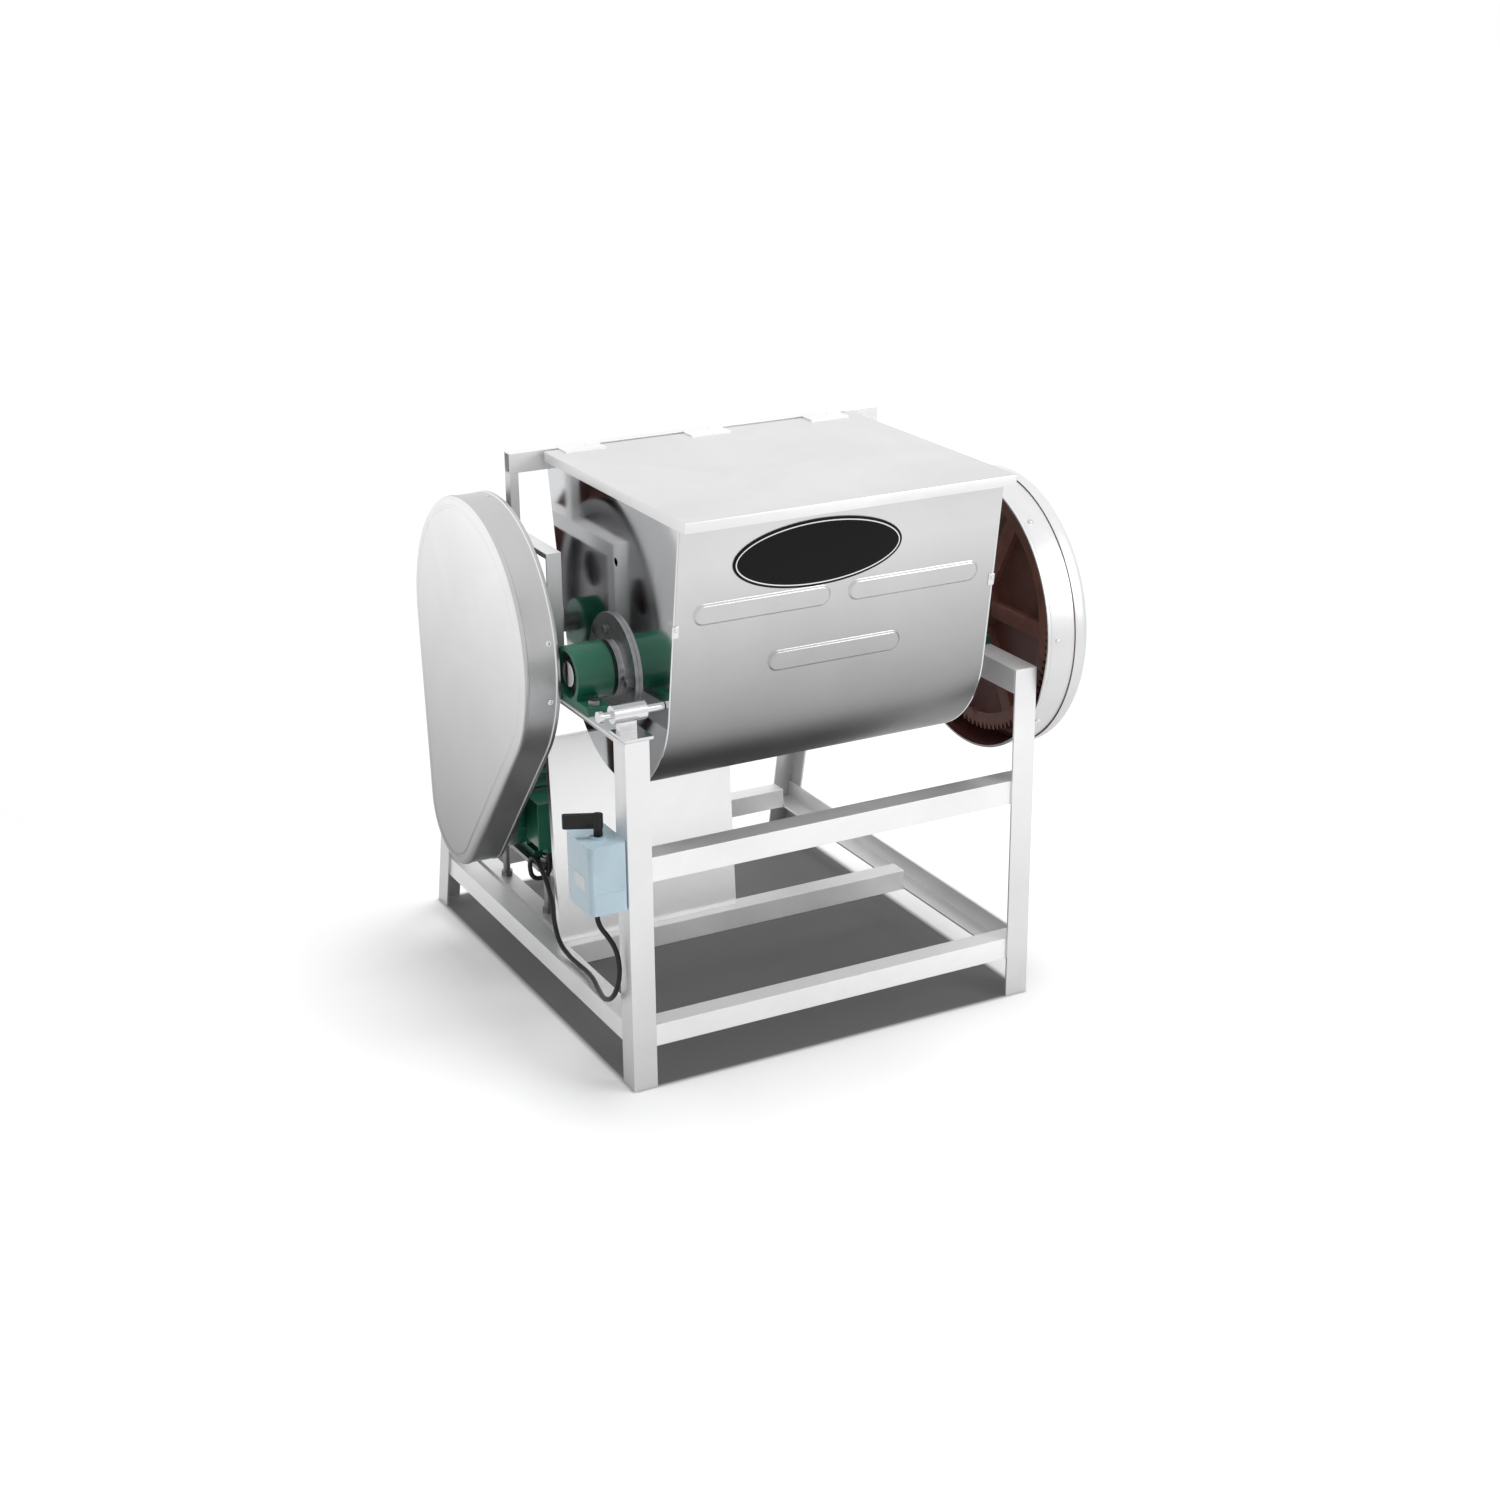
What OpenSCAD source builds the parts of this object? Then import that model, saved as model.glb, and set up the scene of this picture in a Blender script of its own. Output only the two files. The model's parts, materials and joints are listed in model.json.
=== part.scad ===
/* [Frame] */
// Width of the stand across the outer faces of its legs
frame_w = 720; // [600:10:900]
// Height of the deck that carries the bearing housings
deck_h = 570; // [500:5:650]
// Flange width of the angle iron in the legs and the deck
iron = 40; // [30:1:50]
// Thickness of the angle iron
iron_t = 4; // [3:0.5:6]
// Flange width of the lighter angle iron near the floor
low_iron = 36; // [25:1:45]
// Height of the underside of the low rails
low_rail_z = 68; // [40:2:120]
// Height of the underside of the front middle rail
mid_rail_z = 342; // [250:2:380]
// Distance from the front legs' faces to the back of the rear feet
foot_reach = 830; // [760:5:950]
// Lean of the rear legs in degrees
rear_lean = 13; // [0:1:18]
// Distance from the front to the low cross rail
cross_y = 325; // [280:5:380]
// Side of the square tube in the rear posts
post_w = 15; // [12:1:25]
// Depth of the tube in the rear posts and the back rail
post_d = 20; // [15:1:30]
// Height of the back rail's section
back_rail_h = 32; // [20:1:40]
// Gap between the lid's back edge and the back rail
back_gap = 12; // [10:1:20]
// Height of the side frames' tops
side_frame_h = 780; // [700:5:800]
// Length of the two tubes between the side frames and the back rail
rear_post_l = 89.8; // [60:0.1:120]
// Distance from the front to the side frames
side_post_y = 300; // [290:1:320]
// Depth of the side frames
side_depth = 290; // [250:5:320]
// Flange width of the angle iron in the side frames
side_iron = 25; // [20:1:30]

/* [Bowl] */
// Distance from the front to the main shaft
shaft_y = 208; // [190:1:230]
// Height of the main shaft over the deck
shaft_over_deck = 46; // [44:1:60]
// Clear gap between the legs' outer faces and the bowl's ends
bowl_inset = 84; // [80:1:100]
// Outer radius of the bowl's round bottom
bowl_r = 184; // [150:1:190]
// Thickness of the bowl's sheet
bowl_t = 3; // [2:0.5:4]
// Height of the bowl's rim over the main shaft
rim_rise = 284; // [240:1:300]
// Reach of the rim in front of the main shaft
rim_front = 228; // [200:1:240]
// Reach of the rim behind the main shaft
rim_rear = 237; // [225:1:245]
// Height of the upright band at the rear rim
rim_band = 24; // [20:1:40]
// Height of the stamped ribs on the front wall
rib_h = 26; // [16:1:30]
// Length of the stamped ribs
rib_l = 221; // [120:1:230]
// How far the stamped ribs stand proud
rib_proud = 3; // [1:0.5:5]

/* [Lid] */
// Overhang of the lid in front of the bowl's rim
lid_overhang = 26; // [10:1:40]
// Height of the lid's skirt
lid_skirt = 16; // [10:1:25]
// Thickness of the lid's sheet
lid_t = 1.5; // [1:0.25:3]
// Gap between the lid's side skirts and the bowl's ends
lid_side_gap = 2.5; // [1:0.5:6]
// Width of one hinge
hinge_w = 70; // [50:2:100]
// Distance of the outer hinges from the middle one
hinge_pitch = 220; // [150:5:240]
// Radius of the hinge knuckles
knuckle_r = 4.5; // [3:0.25:5]
// Radius of the hinge pins
hinge_pin_r = 2.5; // [1.5:0.25:3]
// Thickness of the hinge leaves
leaf_t = 2; // [1.5:0.25:3]

/* [Mixing shaft] */
// Radius of the main shaft
shaft_r = 20; // [15:1:24]
// Sweep radius of the stirring bars
stir_r = 166; // [120:1:172]
// Width of a stirring bar's section
bar_w = 30; // [16:1:36]
// Thickness of a stirring bar's section
bar_t = 14; // [10:1:18]
// Turn of a stirring bar from end to end in degrees
bar_turn = 150; // [60:5:180]

/* [Bearings] */
// Outer radius of the main bearing housings
housing_r = 44; // [40:1:46]
// Length of a main bearing housing
housing_l = 60; // [50:1:64]
// Radius of the trunnion nose that carries the bowl
nose_r = 29; // [26:0.5:32]
// Outer radius of the bearings
bearing_r = 36; // [32:0.5:38]
// Width of the bearings
bearing_w = 22; // [16:1:26]
// Thickness of the housings' feet
foot_t = 14; // [10:1:18]
// Distance between the bolts of a main housing's foot
foot_pitch = 124; // [114:2:130]
// Radius of the housing bolts
bolt_r = 6; // [4:0.5:7]
// Radius of the bowl's hub flanges
flange_r = 85; // [70:1:100]
// Thickness of the hub flanges
flange_t = 6; // [5:1:8]
// Radius of the raised hub on each flange
hub_r = 46; // [40:1:48]
// Circle radius of the flange bolts
flange_bolt_c = 58; // [56:1:70]
// Radius of the countershaft
counter_r = 15; // [12:1:18]
// Outer radius of the countershaft's housings
counter_housing_r = 36; // [32:1:40]
// Outer radius of the countershaft's bearings
counter_bearing_r = 29; // [26:0.5:30]
// Distance between the bolts of a countershaft housing's foot
counter_pitch = 104; // [98:2:110]

/* [Gears] */
// Module of the gear teeth
gear_m = 4; // [3:0.5:4]
// Teeth of the main gear
gear_z = 104; // [90:1:106]
// Teeth of the pinion
pinion_z = 16; // [14:1:18]
// Face width of the gears
gear_w = 44; // [30:2:46]
// Play between the teeth along the pitch circle
backlash = 0.6; // [0.3:0.1:1]

/* [Belt drive] */
// Outer radius of the large pulley
big_pulley_r = 190; // [150:1:196]
// Outer radius of the motor pulley
small_pulley_r = 50; // [40:1:60]
// Width of the pulleys
pulley_w = 42; // [36:1:44]
// Width of one belt
belt_w = 13; // [10:1:14]
// Height of one belt
belt_h = 10; // [8:0.5:12]
// Distance from the front to the motor's axis
motor_y = 558; // [540:1:580]
// Height of the motor's axis
motor_z = 287; // [275:1:300]

/* [Covers] */
// Radius of the belt cover round the large pulley
belt_cover_r = 226; // [215:1:232]
// Radius of the belt cover round the motor pulley
belt_cover_small_r = 96; // [80:1:110]
// Depth of the belt cover
belt_cover_d = 63; // [60:1:75]
// Radius of the gear cover round the main gear
gear_cover_r = 229; // [226:1:245]
// Height of the main shaft over the gear cover's own centre
gear_cover_drop = 9; // [0:0.5:12]
// Radius of the gear cover round the pinion
gear_cover_small_r = 58; // [50:1:70]
// Depth of the gear cover's band
gear_band_d = 60; // [56:1:75]
// Depth of the gear cover's cap
gear_cap_d = 20; // [12:1:30]
// Thickness of the covers' sheet
cover_t = 2; // [1:0.25:3]
// Radius of the covers' rolled edges
cover_edge = 7; // [3:0.5:10]

/* [Motor] */
// Radius of the motor's barrel
motor_r = 84; // [75:1:86]
// Length of the motor's barrel
motor_l = 190; // [120:5:200]
// Height of the motor's axis over its feet
motor_centre_h = 90; // [88:1:100]
// Radius of the motor's shaft
motor_shaft_r = 12; // [9:1:14]
// Height of the motor's cooling fins
fin_h = 7; // [4:1:8]
// Number of cooling fins on one half of the barrel
fin_count = 9; // [5:1:12]
// Thickness of the motor plate
motor_plate_t = 8; // [6:1:12]
// Radius of the tension studs
stud_r = 6; // [5:0.5:8]
// Width of the splash panel
panel_w = 325; // [250:5:340]
// Height of the splash panel
panel_h = 350; // [300:5:365]
// Lean of the splash panel in degrees
panel_lean = 4; // [0:1:6]

/* [Switch and latch] */
// Width of the switch box
box_w = 62; // [50:1:64]
// Depth of the switch box
box_d = 88; // [60:1:100]
// Height of the switch box
box_h = 110; // [80:1:130]
// Height of the switch box's underside
box_z = 308; // [240:2:320]
// Corner radius of the switch box
box_corner = 9; // [4:1:14]
// Length of the switch handle
handle_l = 48; // [35:1:60]
// Direction of the switch handle at rest in degrees
handle_turn = 25; // [0:5:40]
// Radius of the latch barrel
latch_r = 14; // [9:1:16]
// Radius of the latch plunger
plunger_r = 6; // [4:0.5:8]
// Distance of the latch from the main shaft
latch_reach = 168; // [160:1:172]
// Turn of the bowl between its two locking holes in degrees
tilt_turn = 90; // [60:5:95]

/* [Hidden] */

$fn = 64;
fit = 0.3;
// A flat that runs on from a round starts this far under the round's surface.
tuck = 0.05;
run = 0.06;

stainless = [0.80, 0.81, 0.82];
white_sheet = [0.88, 0.89, 0.90];
green = [0.05, 0.40, 0.27];
red_brown = [0.30, 0.14, 0.11];
dark_steel = [0.35, 0.35, 0.36];
black = [0.06, 0.06, 0.07];
pale_blue = [0.60, 0.72, 0.82];
bronze = [0.70, 0.52, 0.28];

shaft_z = deck_h + shaft_over_deck;
bowl_x0 = bowl_inset;
bowl_x1 = frame_w - bowl_inset;
bowl_l = bowl_x1 - bowl_x0;
mid_x = frame_w / 2;
rim_z = shaft_z + rim_rise;
rim_front_y = shaft_y - rim_front;
rim_rear_y = shaft_y + rim_rear;

lid_x0 = bowl_x0 - lid_side_gap - lid_t;
lid_x1 = bowl_x1 + lid_side_gap + lid_t;
lid_y0 = rim_front_y - lid_overhang;
lid_under = rim_z + fit;
lid_top = lid_under + lid_t;
hinge_y = rim_rear_y + knuckle_r + fit;
hinge_z = lid_top + leaf_t - knuckle_r;
lid_y1 = hinge_y - knuckle_r - fit;
hinge_xs = [mid_x - hinge_pitch, mid_x, mid_x + hinge_pitch];

back_rail_y = rim_rear_y + back_gap;
back_rail_z = side_frame_h + rear_post_l;

centre_d = gear_m * (gear_z + pinion_z) / 2;
counter_y = shaft_y + centre_d;
counter_z = shaft_z;
gear_gap = 18;
gear_x0 = frame_w + gear_gap;
gear_x1 = gear_x0 + gear_w;
band_gap = 4;
band_x0 = frame_w + band_gap;
cap_x0 = band_x0 + gear_band_d;
cap_x1 = cap_x0 + gear_cap_d;

pulley_gap = 14;
pulley_x1 = -pulley_gap;
pulley_x0 = pulley_x1 - pulley_w;
groove_pitch = pulley_w / 2;
belt_xs = [pulley_x0 + groove_pitch / 2, pulley_x0 + groove_pitch * 3 / 2];
big_groove_r = big_pulley_r - belt_h;
small_groove_r = small_pulley_r - belt_h;
belt_cover_gap = 2;
belt_cover_x0 = -belt_cover_d - belt_cover_gap;
belt_cover_x1 = -belt_cover_gap;

foot_slope = tan(rear_lean);
rear_top_y = foot_reach - deck_h * foot_slope;
rear_low_y = foot_reach - (low_rail_z + low_iron) * foot_slope;
deck_rail_l = rear_top_y - iron_t;

housing_x0 = 2;
housing_x1 = housing_x0 + housing_l;
flange_x0 = bowl_x0 - flange_t;
hub_gap = 6;
hub_x0 = housing_x1 + hub_gap;
nose_x1 = bowl_x0 + bowl_t;
foot_w = iron - 2 * housing_x0;

motor_face_x = 22;
motor_base_z = motor_z - motor_centre_h;
motor_end_x = motor_face_x + motor_l;
bearer_z = low_rail_z + low_iron;
bearer_w = 30;
bearer_inset = 25;
bearer_xs = [motor_face_x + bearer_inset, motor_end_x - bearer_inset - bearer_w];

box_x0 = -box_w;
handle_x = -box_w / 2;
handle_y = 35.2;
handle_z = box_z + box_h;
grip_r = 5;
grip_h = 22;

latch_drop = 12;
latch_y = shaft_y - latch_reach;
latch_z = shaft_z - latch_drop;
lock_a = 180 + atan2(latch_drop, latch_reach);
lock_c = norm([latch_reach, latch_drop]);
plunger_x1 = bowl_x0 - 2 * fit;

left_reach = max(-handle_x + handle_l * cos(handle_turn) + grip_r, -belt_cover_x0);
right_reach = cap_x1 - frame_w;
front_reach = -lid_y0;
origin_x = -(frame_w + right_reach - left_reach) / 2;
origin_y = -(foot_reach - front_reach) / 2;

// The cable hangs from the switch box, crosses the low rail and rises to the motor.
cable_r = 4;
cable_sides = 8;
cable_pts = [
    [-31, 48, 292], [-31, 48, 280], [-27, 45, 266], [-19, 38, 252], [-12, 30, 235],
    [-9, 25, 215], [-9, 24, 192], [-12, 28, 168], [-14, 42, 148], [-12, 66, 134],
    [-6, 94, 124], [2, 122, 117], [9, 150, 114], [16, 180, 113], [20, 214, 111],
    [20, 248, 110], [19, 284, 112], [19, 318, 122], [22, 342, 144], [25, 356, 172],
    [25, 374, 200], [23, 396, 222], [23, 420, 230], [25, 439, 220], [30, 447, 200],
    [38, 447, 182], [48, 444, 174], [56, 443, 186], [60, 444, 204], [60, 446, 224]
];
cable_start = cable_pts[0];
cable_end = cable_pts[len(cable_pts) - 1];

module placed() {
    translate([origin_x, origin_y, 0]) children();
}

// A bar of angle section along +X: one flange lies flat, the other stands.
module angle_x(l, w, t) {
    cube([l, w, t]);
    cube([l, t, w]);
}

// Lays a profile drawn in Y and Z along +X from x0 for a length l.
module along_x(x0, l) {
    translate([x0, 0, 0]) rotate([90, 0, 90]) linear_extrude(l) children();
}

module rod_x(x0, l, r, y, z) {
    translate([x0, y, z]) rotate([0, 90, 0]) cylinder(r = r, h = l);
}

// A slab round two centres, joined by its two outer tangent planes.
module pear(x0, l, r1, c1, r2, c2) {
    a = atan2(c2[1] - c1[1], c2[0] - c1[0]);
    b = acos((r1 - r2) / norm(c2 - c1));
    t1 = r1 - tuck;
    t2 = r2 - tuck;
    rod_x(x0, l, r1, c1[0], c1[1]);
    rod_x(x0, l, r2, c2[0], c2[1]);
    along_x(x0, l) polygon([
        c1 + t1 * [cos(a + b), sin(a + b)], c2 + t2 * [cos(a + b), sin(a + b)], c2,
        c2 + t2 * [cos(a - b), sin(a - b)], c1 + t1 * [cos(a - b), sin(a - b)], c1
    ]);
}

// Centres in the side view, where the first axis runs back and the second up.
main_c = [shaft_y, shaft_z];
gear_cover_c = main_c - [0, gear_cover_drop];
counter_c = [counter_y, counter_z];
motor_c = [motor_y, motor_z];

module front_leg(side) {
    translate([side > 0 ? frame_w : 0, 0, 0]) mirror([side > 0 ? 1 : 0, 0, 0]) {
        cube([iron, iron_t, deck_h]);
        cube([iron_t, iron, deck_h - iron_t]);
    }
}

module rear_leg(side) {
    leg_h = deck_h - iron_t;
    long = 1.3 * deck_h;
    translate([side > 0 ? frame_w : 0, 0, 0]) mirror([side > 0 ? 1 : 0, 0, 0])
    intersection() {
        translate([0, foot_reach, 0]) rotate([rear_lean, 0, 0]) {
            translate([0, -iron_t, -iron]) cube([iron, iron_t, long]);
            translate([0, -iron, -iron]) cube([iron_t, iron, long]);
        }
        translate([-1, 0, 0]) cube([iron + 2, 2 * foot_reach, leg_h]);
    }
}

// The deck rails carry a flat top flange and an upright flange on the bowl's side.
module deck_rail(side) {
    translate([side > 0 ? frame_w : 0, iron_t, 0]) mirror([side > 0 ? 1 : 0, 0, 0]) {
        translate([0, 0, deck_h - iron_t]) cube([iron, deck_rail_l, iron_t]);
        translate([iron - iron_t, 0, deck_h - iron]) cube([iron_t, deck_rail_l - 2 * iron_t, iron]);
    }
}

module front_left_leg() placed() color(stainless) front_leg(-1);
module front_right_leg() placed() color(stainless) front_leg(1);
module rear_left_leg() placed() color(stainless) rear_leg(-1);
module rear_right_leg() placed() color(stainless) rear_leg(1);
module left_deck_rail() placed() color(stainless) deck_rail(-1);
module right_deck_rail() placed() color(stainless) deck_rail(1);

rear_rail_inset = 10;

module rear_deck_rail() placed() color(stainless)
    translate([iron, rear_top_y - iron - rear_rail_inset, deck_h]) mirror([0, 0, 1])
        angle_x(frame_w - 2 * iron, iron, iron_t);

module front_middle_rail() placed() color(stainless)
    translate([iron_t, iron_t, mid_rail_z + iron]) mirror([0, 0, 1])
        angle_x(frame_w - 2 * iron_t, iron, iron_t);

module front_low_rail() placed() color(stainless)
    translate([iron_t, iron_t, low_rail_z + low_iron]) mirror([0, 0, 1])
        angle_x(frame_w - 2 * iron_t, low_iron, iron_t);

low_side_y0 = iron_t + low_iron;

// The side rails near the floor end square against the leaning rear legs.
module low_side_rail(top_flange) {
    z_flange = top_flange ? low_rail_z + low_iron - iron_t : low_rail_z;
    long = foot_reach - low_side_y0;
    difference() {
        translate([iron_t, low_side_y0, 0]) {
            translate([0, 0, low_rail_z]) cube([iron_t, long, low_iron]);
            translate([0, 0, z_flange]) cube([low_iron, long, iron_t]);
        }
        translate([0, foot_reach, 0]) rotate([rear_lean, 0, 0])
            translate([-1, -iron_t, -iron]) cube([frame_w, foot_reach, deck_h]);
    }
}

module left_low_rail() placed() color(stainless) low_side_rail(true);

module right_low_rail() placed() color(stainless)
    translate([frame_w, 0, 0]) mirror([1, 0, 0]) low_side_rail(false);

rear_low_inner = rear_low_y - iron_t / cos(rear_lean) - low_iron;
rail_span = frame_w - 2 * (iron_t + low_iron);

// Two equal angles cross the stand near the floor, under the panel and between the rear legs.
module low_cross_rails() placed() color(stainless) for (y = [cross_y, rear_low_inner])
    translate([iron_t + low_iron, y, low_rail_z + low_iron]) mirror([0, 0, 1])
        angle_x(rail_span, low_iron, iron_t);

rear_post_x = iron - post_w;
tube_t = 1.5;

// Two tubes stand on the side frames and carry the back rail.
module rear_posts() placed() color(stainless) both_sides()
    translate([rear_post_x, back_rail_y, side_frame_h]) difference() {
        cube([post_w, post_d, rear_post_l]);
        translate([tube_t, tube_t, -1])
            cube([post_w - 2 * tube_t, post_d - 2 * tube_t, rear_post_l + 2]);
    }

module back_rail() placed() color(stainless)
    translate([rear_post_x, back_rail_y, back_rail_z]) difference() {
        cube([frame_w - 2 * rear_post_x, post_d, back_rail_h]);
        translate([-1, tube_t, tube_t])
            cube([frame_w - 2 * rear_post_x + 2, post_d - 2 * tube_t, back_rail_h - 2 * tube_t]);
    }

side_t = 3;
side_x0 = iron - side_iron;

// A light frame of angle iron on each deck rail spans the countershaft's housing.
module side_frames() placed() color(stainless) both_sides() translate([side_x0, side_post_y, 0]) {
    post_h = side_frame_h - deck_h;
    for (s = [0, 1]) translate([0, s * side_depth, deck_h]) mirror([0, s, 0]) {
        translate([side_iron - side_t, 0, 0]) cube([side_t, side_iron, post_h]);
        cube([side_iron, side_t, post_h]);
    }
    translate([side_iron - side_t, 0, side_frame_h - side_iron]) cube([side_t, side_depth, side_iron]);
    translate([0, 0, side_frame_h - side_t]) cube([side_iron, side_depth, side_t]);
}

panel_lap = 8;
panel_x0 = iron_t + low_iron - panel_lap;
panel_t = 1.5;
hem = 12;

// The sheet has hems folded back along its top and its sides.
module splash_panel() placed() color(white_sheet)
    translate([panel_x0, cross_y + low_iron / 2, low_rail_z + low_iron]) difference() {
        rotate([-panel_lean, 0, 0]) {
            cube([panel_w, panel_t, panel_h]);
            translate([0, 0, panel_h - panel_t]) cube([panel_w, hem, panel_t]);
            cube([panel_t, hem, panel_h]);
            translate([panel_w - panel_t, 0, 0]) cube([panel_t, hem, panel_h]);
        }
        translate([-1, -hem, -hem]) cube([panel_w + 2, 3 * hem, hem]);
    }

bearer_y0 = cross_y + low_iron;
bearer_l = rear_low_inner - bearer_y0;

module motor_bearers() placed() color(stainless) for (x = bearer_xs)
    translate([x, bearer_y0, bearer_z]) mirror([0, 0, 1]) difference() {
        union() {
            cube([bearer_w, bearer_l, iron_t]);
            cube([iron_t, bearer_l, bearer_w]);
        }
        for (y = stud_ys) translate([stud_in, y - bearer_y0, -1])
            cylinder(r = stud_r + fit, h = iron_t + 2);
    }

stud_half = 90;
stud_shift = 2;
stud_in = bearer_w / 2 + stud_shift;
plate_edge_x = 22;
plate_edge_y = 18;
stud_ys = [motor_y - stud_half, motor_y + stud_half];
stud_xs = [for (x = bearer_xs) x + stud_in];
plate_z0 = motor_base_z - motor_plate_t;

module motor_plate() placed() color(dark_steel) difference() {
    translate([stud_xs[0] - plate_edge_x, stud_ys[0] - plate_edge_y, plate_z0])
        cube([stud_xs[1] - stud_xs[0] + 2 * plate_edge_x, 2 * (stud_half + plate_edge_y), motor_plate_t]);
    for (x = stud_xs, y = stud_ys)
        translate([x, y, plate_z0 - 1]) cylinder(r = stud_r + fit, h = motor_plate_t + 2);
}

nut_h = 9;
nut_r = 10.5;
stud_end = 4;

// Four threaded studs hold the motor plate; nuts clamp the plate and the bearers.
module tension_studs() placed() color(dark_steel) for (x = stud_xs, y = stud_ys) {
    translate([x, y, bearer_z - iron_t - nut_h - stud_end])
        cylinder(r = stud_r, h = motor_base_z - bearer_z + iron_t + 2 * nut_h + 2 * stud_end);
    for (z = [bearer_z - iron_t - nut_h, bearer_z, plate_z0 - nut_h, motor_base_z])
        translate([x, y, z]) cylinder(r = nut_r, h = nut_h, $fn = 6);
}

// A slab with the bowl's outline: a round bottom with flat walls up to the rim.
module bowl_slab(x0, l, inset) {
    r = bowl_r - inset;
    front = [-rim_front + inset, rim_rise];
    rear = [rim_rear - inset, rim_rise - rim_band];
    fa = atan2(front[1], front[0]) + acos(r / norm(front));
    ra = atan2(rear[1], rear[0]) - acos(r / norm(rear));
    t = r - tuck;
    rod_x(x0, l, r, shaft_y, shaft_z);
    along_x(x0, l) translate(main_c) polygon([
        t * [cos(fa), sin(fa)], front, [rim_rear - inset, rim_rise], rear, t * [cos(ra), sin(ra)]
    ]);
}

front_wall_a = atan2(rim_rise, -rim_front) + acos(bowl_r / norm([rim_front, rim_rise]));

// Places a child on the bowl's front wall: x across, y up the wall, z outwards.
module on_front_wall(x, up) {
    translate([x, shaft_y, shaft_z]) rotate([front_wall_a - 180, 0, 0])
        translate([0, -bowl_r, up]) rotate([90, 0, 0]) children();
}

rib_ledge = 2.5;
rib_ledge_share = 0.6;

// A rib with round ends and a flank that rises in two steps.
module stamped_rib() {
    for (s = [[0, rib_proud * rib_ledge_share], [rib_ledge, rib_proud]]) {
        r = rib_h / 2 - s[0];
        translate([-(rib_l - rib_h) / 2, -r, -bowl_t / 2]) cube([rib_l - rib_h, 2 * r, s[1] + bowl_t / 2]);
        for (e = [-1, 1]) translate([e * (rib_l - rib_h) / 2, 0, -bowl_t / 2])
            cylinder(r = r + fit, h = s[1] + bowl_t / 2);
    }
}

rib_low = 63;
rib_step = 96;
rib_side = 129.72;
rib_places = [
    [mid_x - rib_side, rib_low + rib_step], [mid_x + rib_side, rib_low + rib_step],
    [mid_x, rib_low]
];

module bowl_wrapper() placed() color(stainless) {
    difference() {
        bowl_slab(bowl_x0 + bowl_t, bowl_l - 2 * bowl_t, 0);
        bowl_slab(bowl_x0, bowl_l, bowl_t);
        translate([bowl_x0, rim_front_y + bowl_t, rim_z - 1])
            cube([bowl_l, rim_front + rim_rear - 2 * bowl_t, bowl_t]);
    }
    for (p = rib_places) on_front_wall(p[0], p[1]) stamped_rib();
}

lock_hole_r = plunger_r + fit;

// The two locking holes lie on the latch's circle, a tilt apart.
module lock_holes() {
    for (a = [lock_a, lock_a - tilt_turn])
        rod_x(bowl_x0 - 1, bowl_t + 2, lock_hole_r, shaft_y + cos(a) * lock_c, shaft_z + sin(a) * lock_c);
}

module end_plate(x0) {
    difference() {
        bowl_slab(x0, bowl_t, 0);
        rod_x(x0 - 1, bowl_t + 2, bush_r, shaft_y, shaft_z);
        children();
    }
}

bush_t = 4;
bush_r = nose_r + bush_t;

module bowl_left_end() placed() color(stainless) end_plate(bowl_x0) lock_holes();

module bowl_right_end() placed() color(stainless) end_plate(bowl_x1 - bowl_t);

// Repeats a left-hand piece on the right, mirrored about the stand's middle.
module both_sides() {
    children();
    translate([frame_w, 0, 0]) mirror([1, 0, 0]) children();
}

flange_bolt_turns = [70, 190, 310];

module flange_bolt_places() {
    for (a = flange_bolt_turns)
        translate([0, shaft_y + cos(a) * flange_bolt_c, shaft_z + sin(a) * flange_bolt_c])
            rotate([0, 90, 0]) children();
}

hub_bolt_r = 4;
hub_head_r = 7;
hub_head_h = 5;

module hub_flanges() placed() color(stainless) both_sides() difference() {
    union() {
        rod_x(flange_x0, flange_t, flange_r, shaft_y, shaft_z);
        rod_x(hub_x0, flange_x0 - hub_x0, hub_r, shaft_y, shaft_z);
    }
    rod_x(hub_x0 - 1, bowl_x0 - hub_x0 + 2, bush_r, shaft_y, shaft_z);
    translate([flange_x0 - 1, 0, 0]) flange_bolt_places() cylinder(r = hub_bolt_r, h = flange_t + 2);
}

module hub_bolts() placed() color(dark_steel) both_sides()
    translate([flange_x0 - hub_head_h, 0, 0]) flange_bolt_places() {
        cylinder(r = hub_head_r, h = hub_head_h, $fn = 6);
        cylinder(r = hub_bolt_r, h = flange_t + hub_head_h);
    }

module bowl_bushes() placed() color(bronze) both_sides() difference() {
    rod_x(hub_x0, nose_x1 - hub_x0, bush_r, shaft_y, shaft_z);
    rod_x(hub_x0 - 1, nose_x1 - hub_x0 + 2, nose_r + run, shaft_y, shaft_z);
}

seal_r = 42;
seal_t = 8;

module shaft_seals() placed() color("whitesmoke") both_sides() difference() {
    rod_x(nose_x1, seal_t, seal_r, shaft_y, shaft_z);
    rod_x(nose_x1 - 1, seal_t + 2, shaft_r + run, shaft_y, shaft_z);
}

module lid() placed() color(stainless) {
    w = lid_x1 - lid_x0;
    d = lid_y1 - lid_y0;
    skirt_z = lid_top - lid_skirt;
    translate([lid_x0, lid_y0, lid_under]) cube([w, d, lid_t]);
    translate([lid_x0, lid_y0, skirt_z]) cube([w, lid_t, lid_skirt]);
    for (x = [lid_x0, lid_x1 - lid_t]) translate([x, lid_y0, skirt_z]) cube([lid_t, d, lid_skirt]);
}

leaf_l = 34;
knuckle_gap = 0.5;
knuckle_third = hinge_w / 3;

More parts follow.
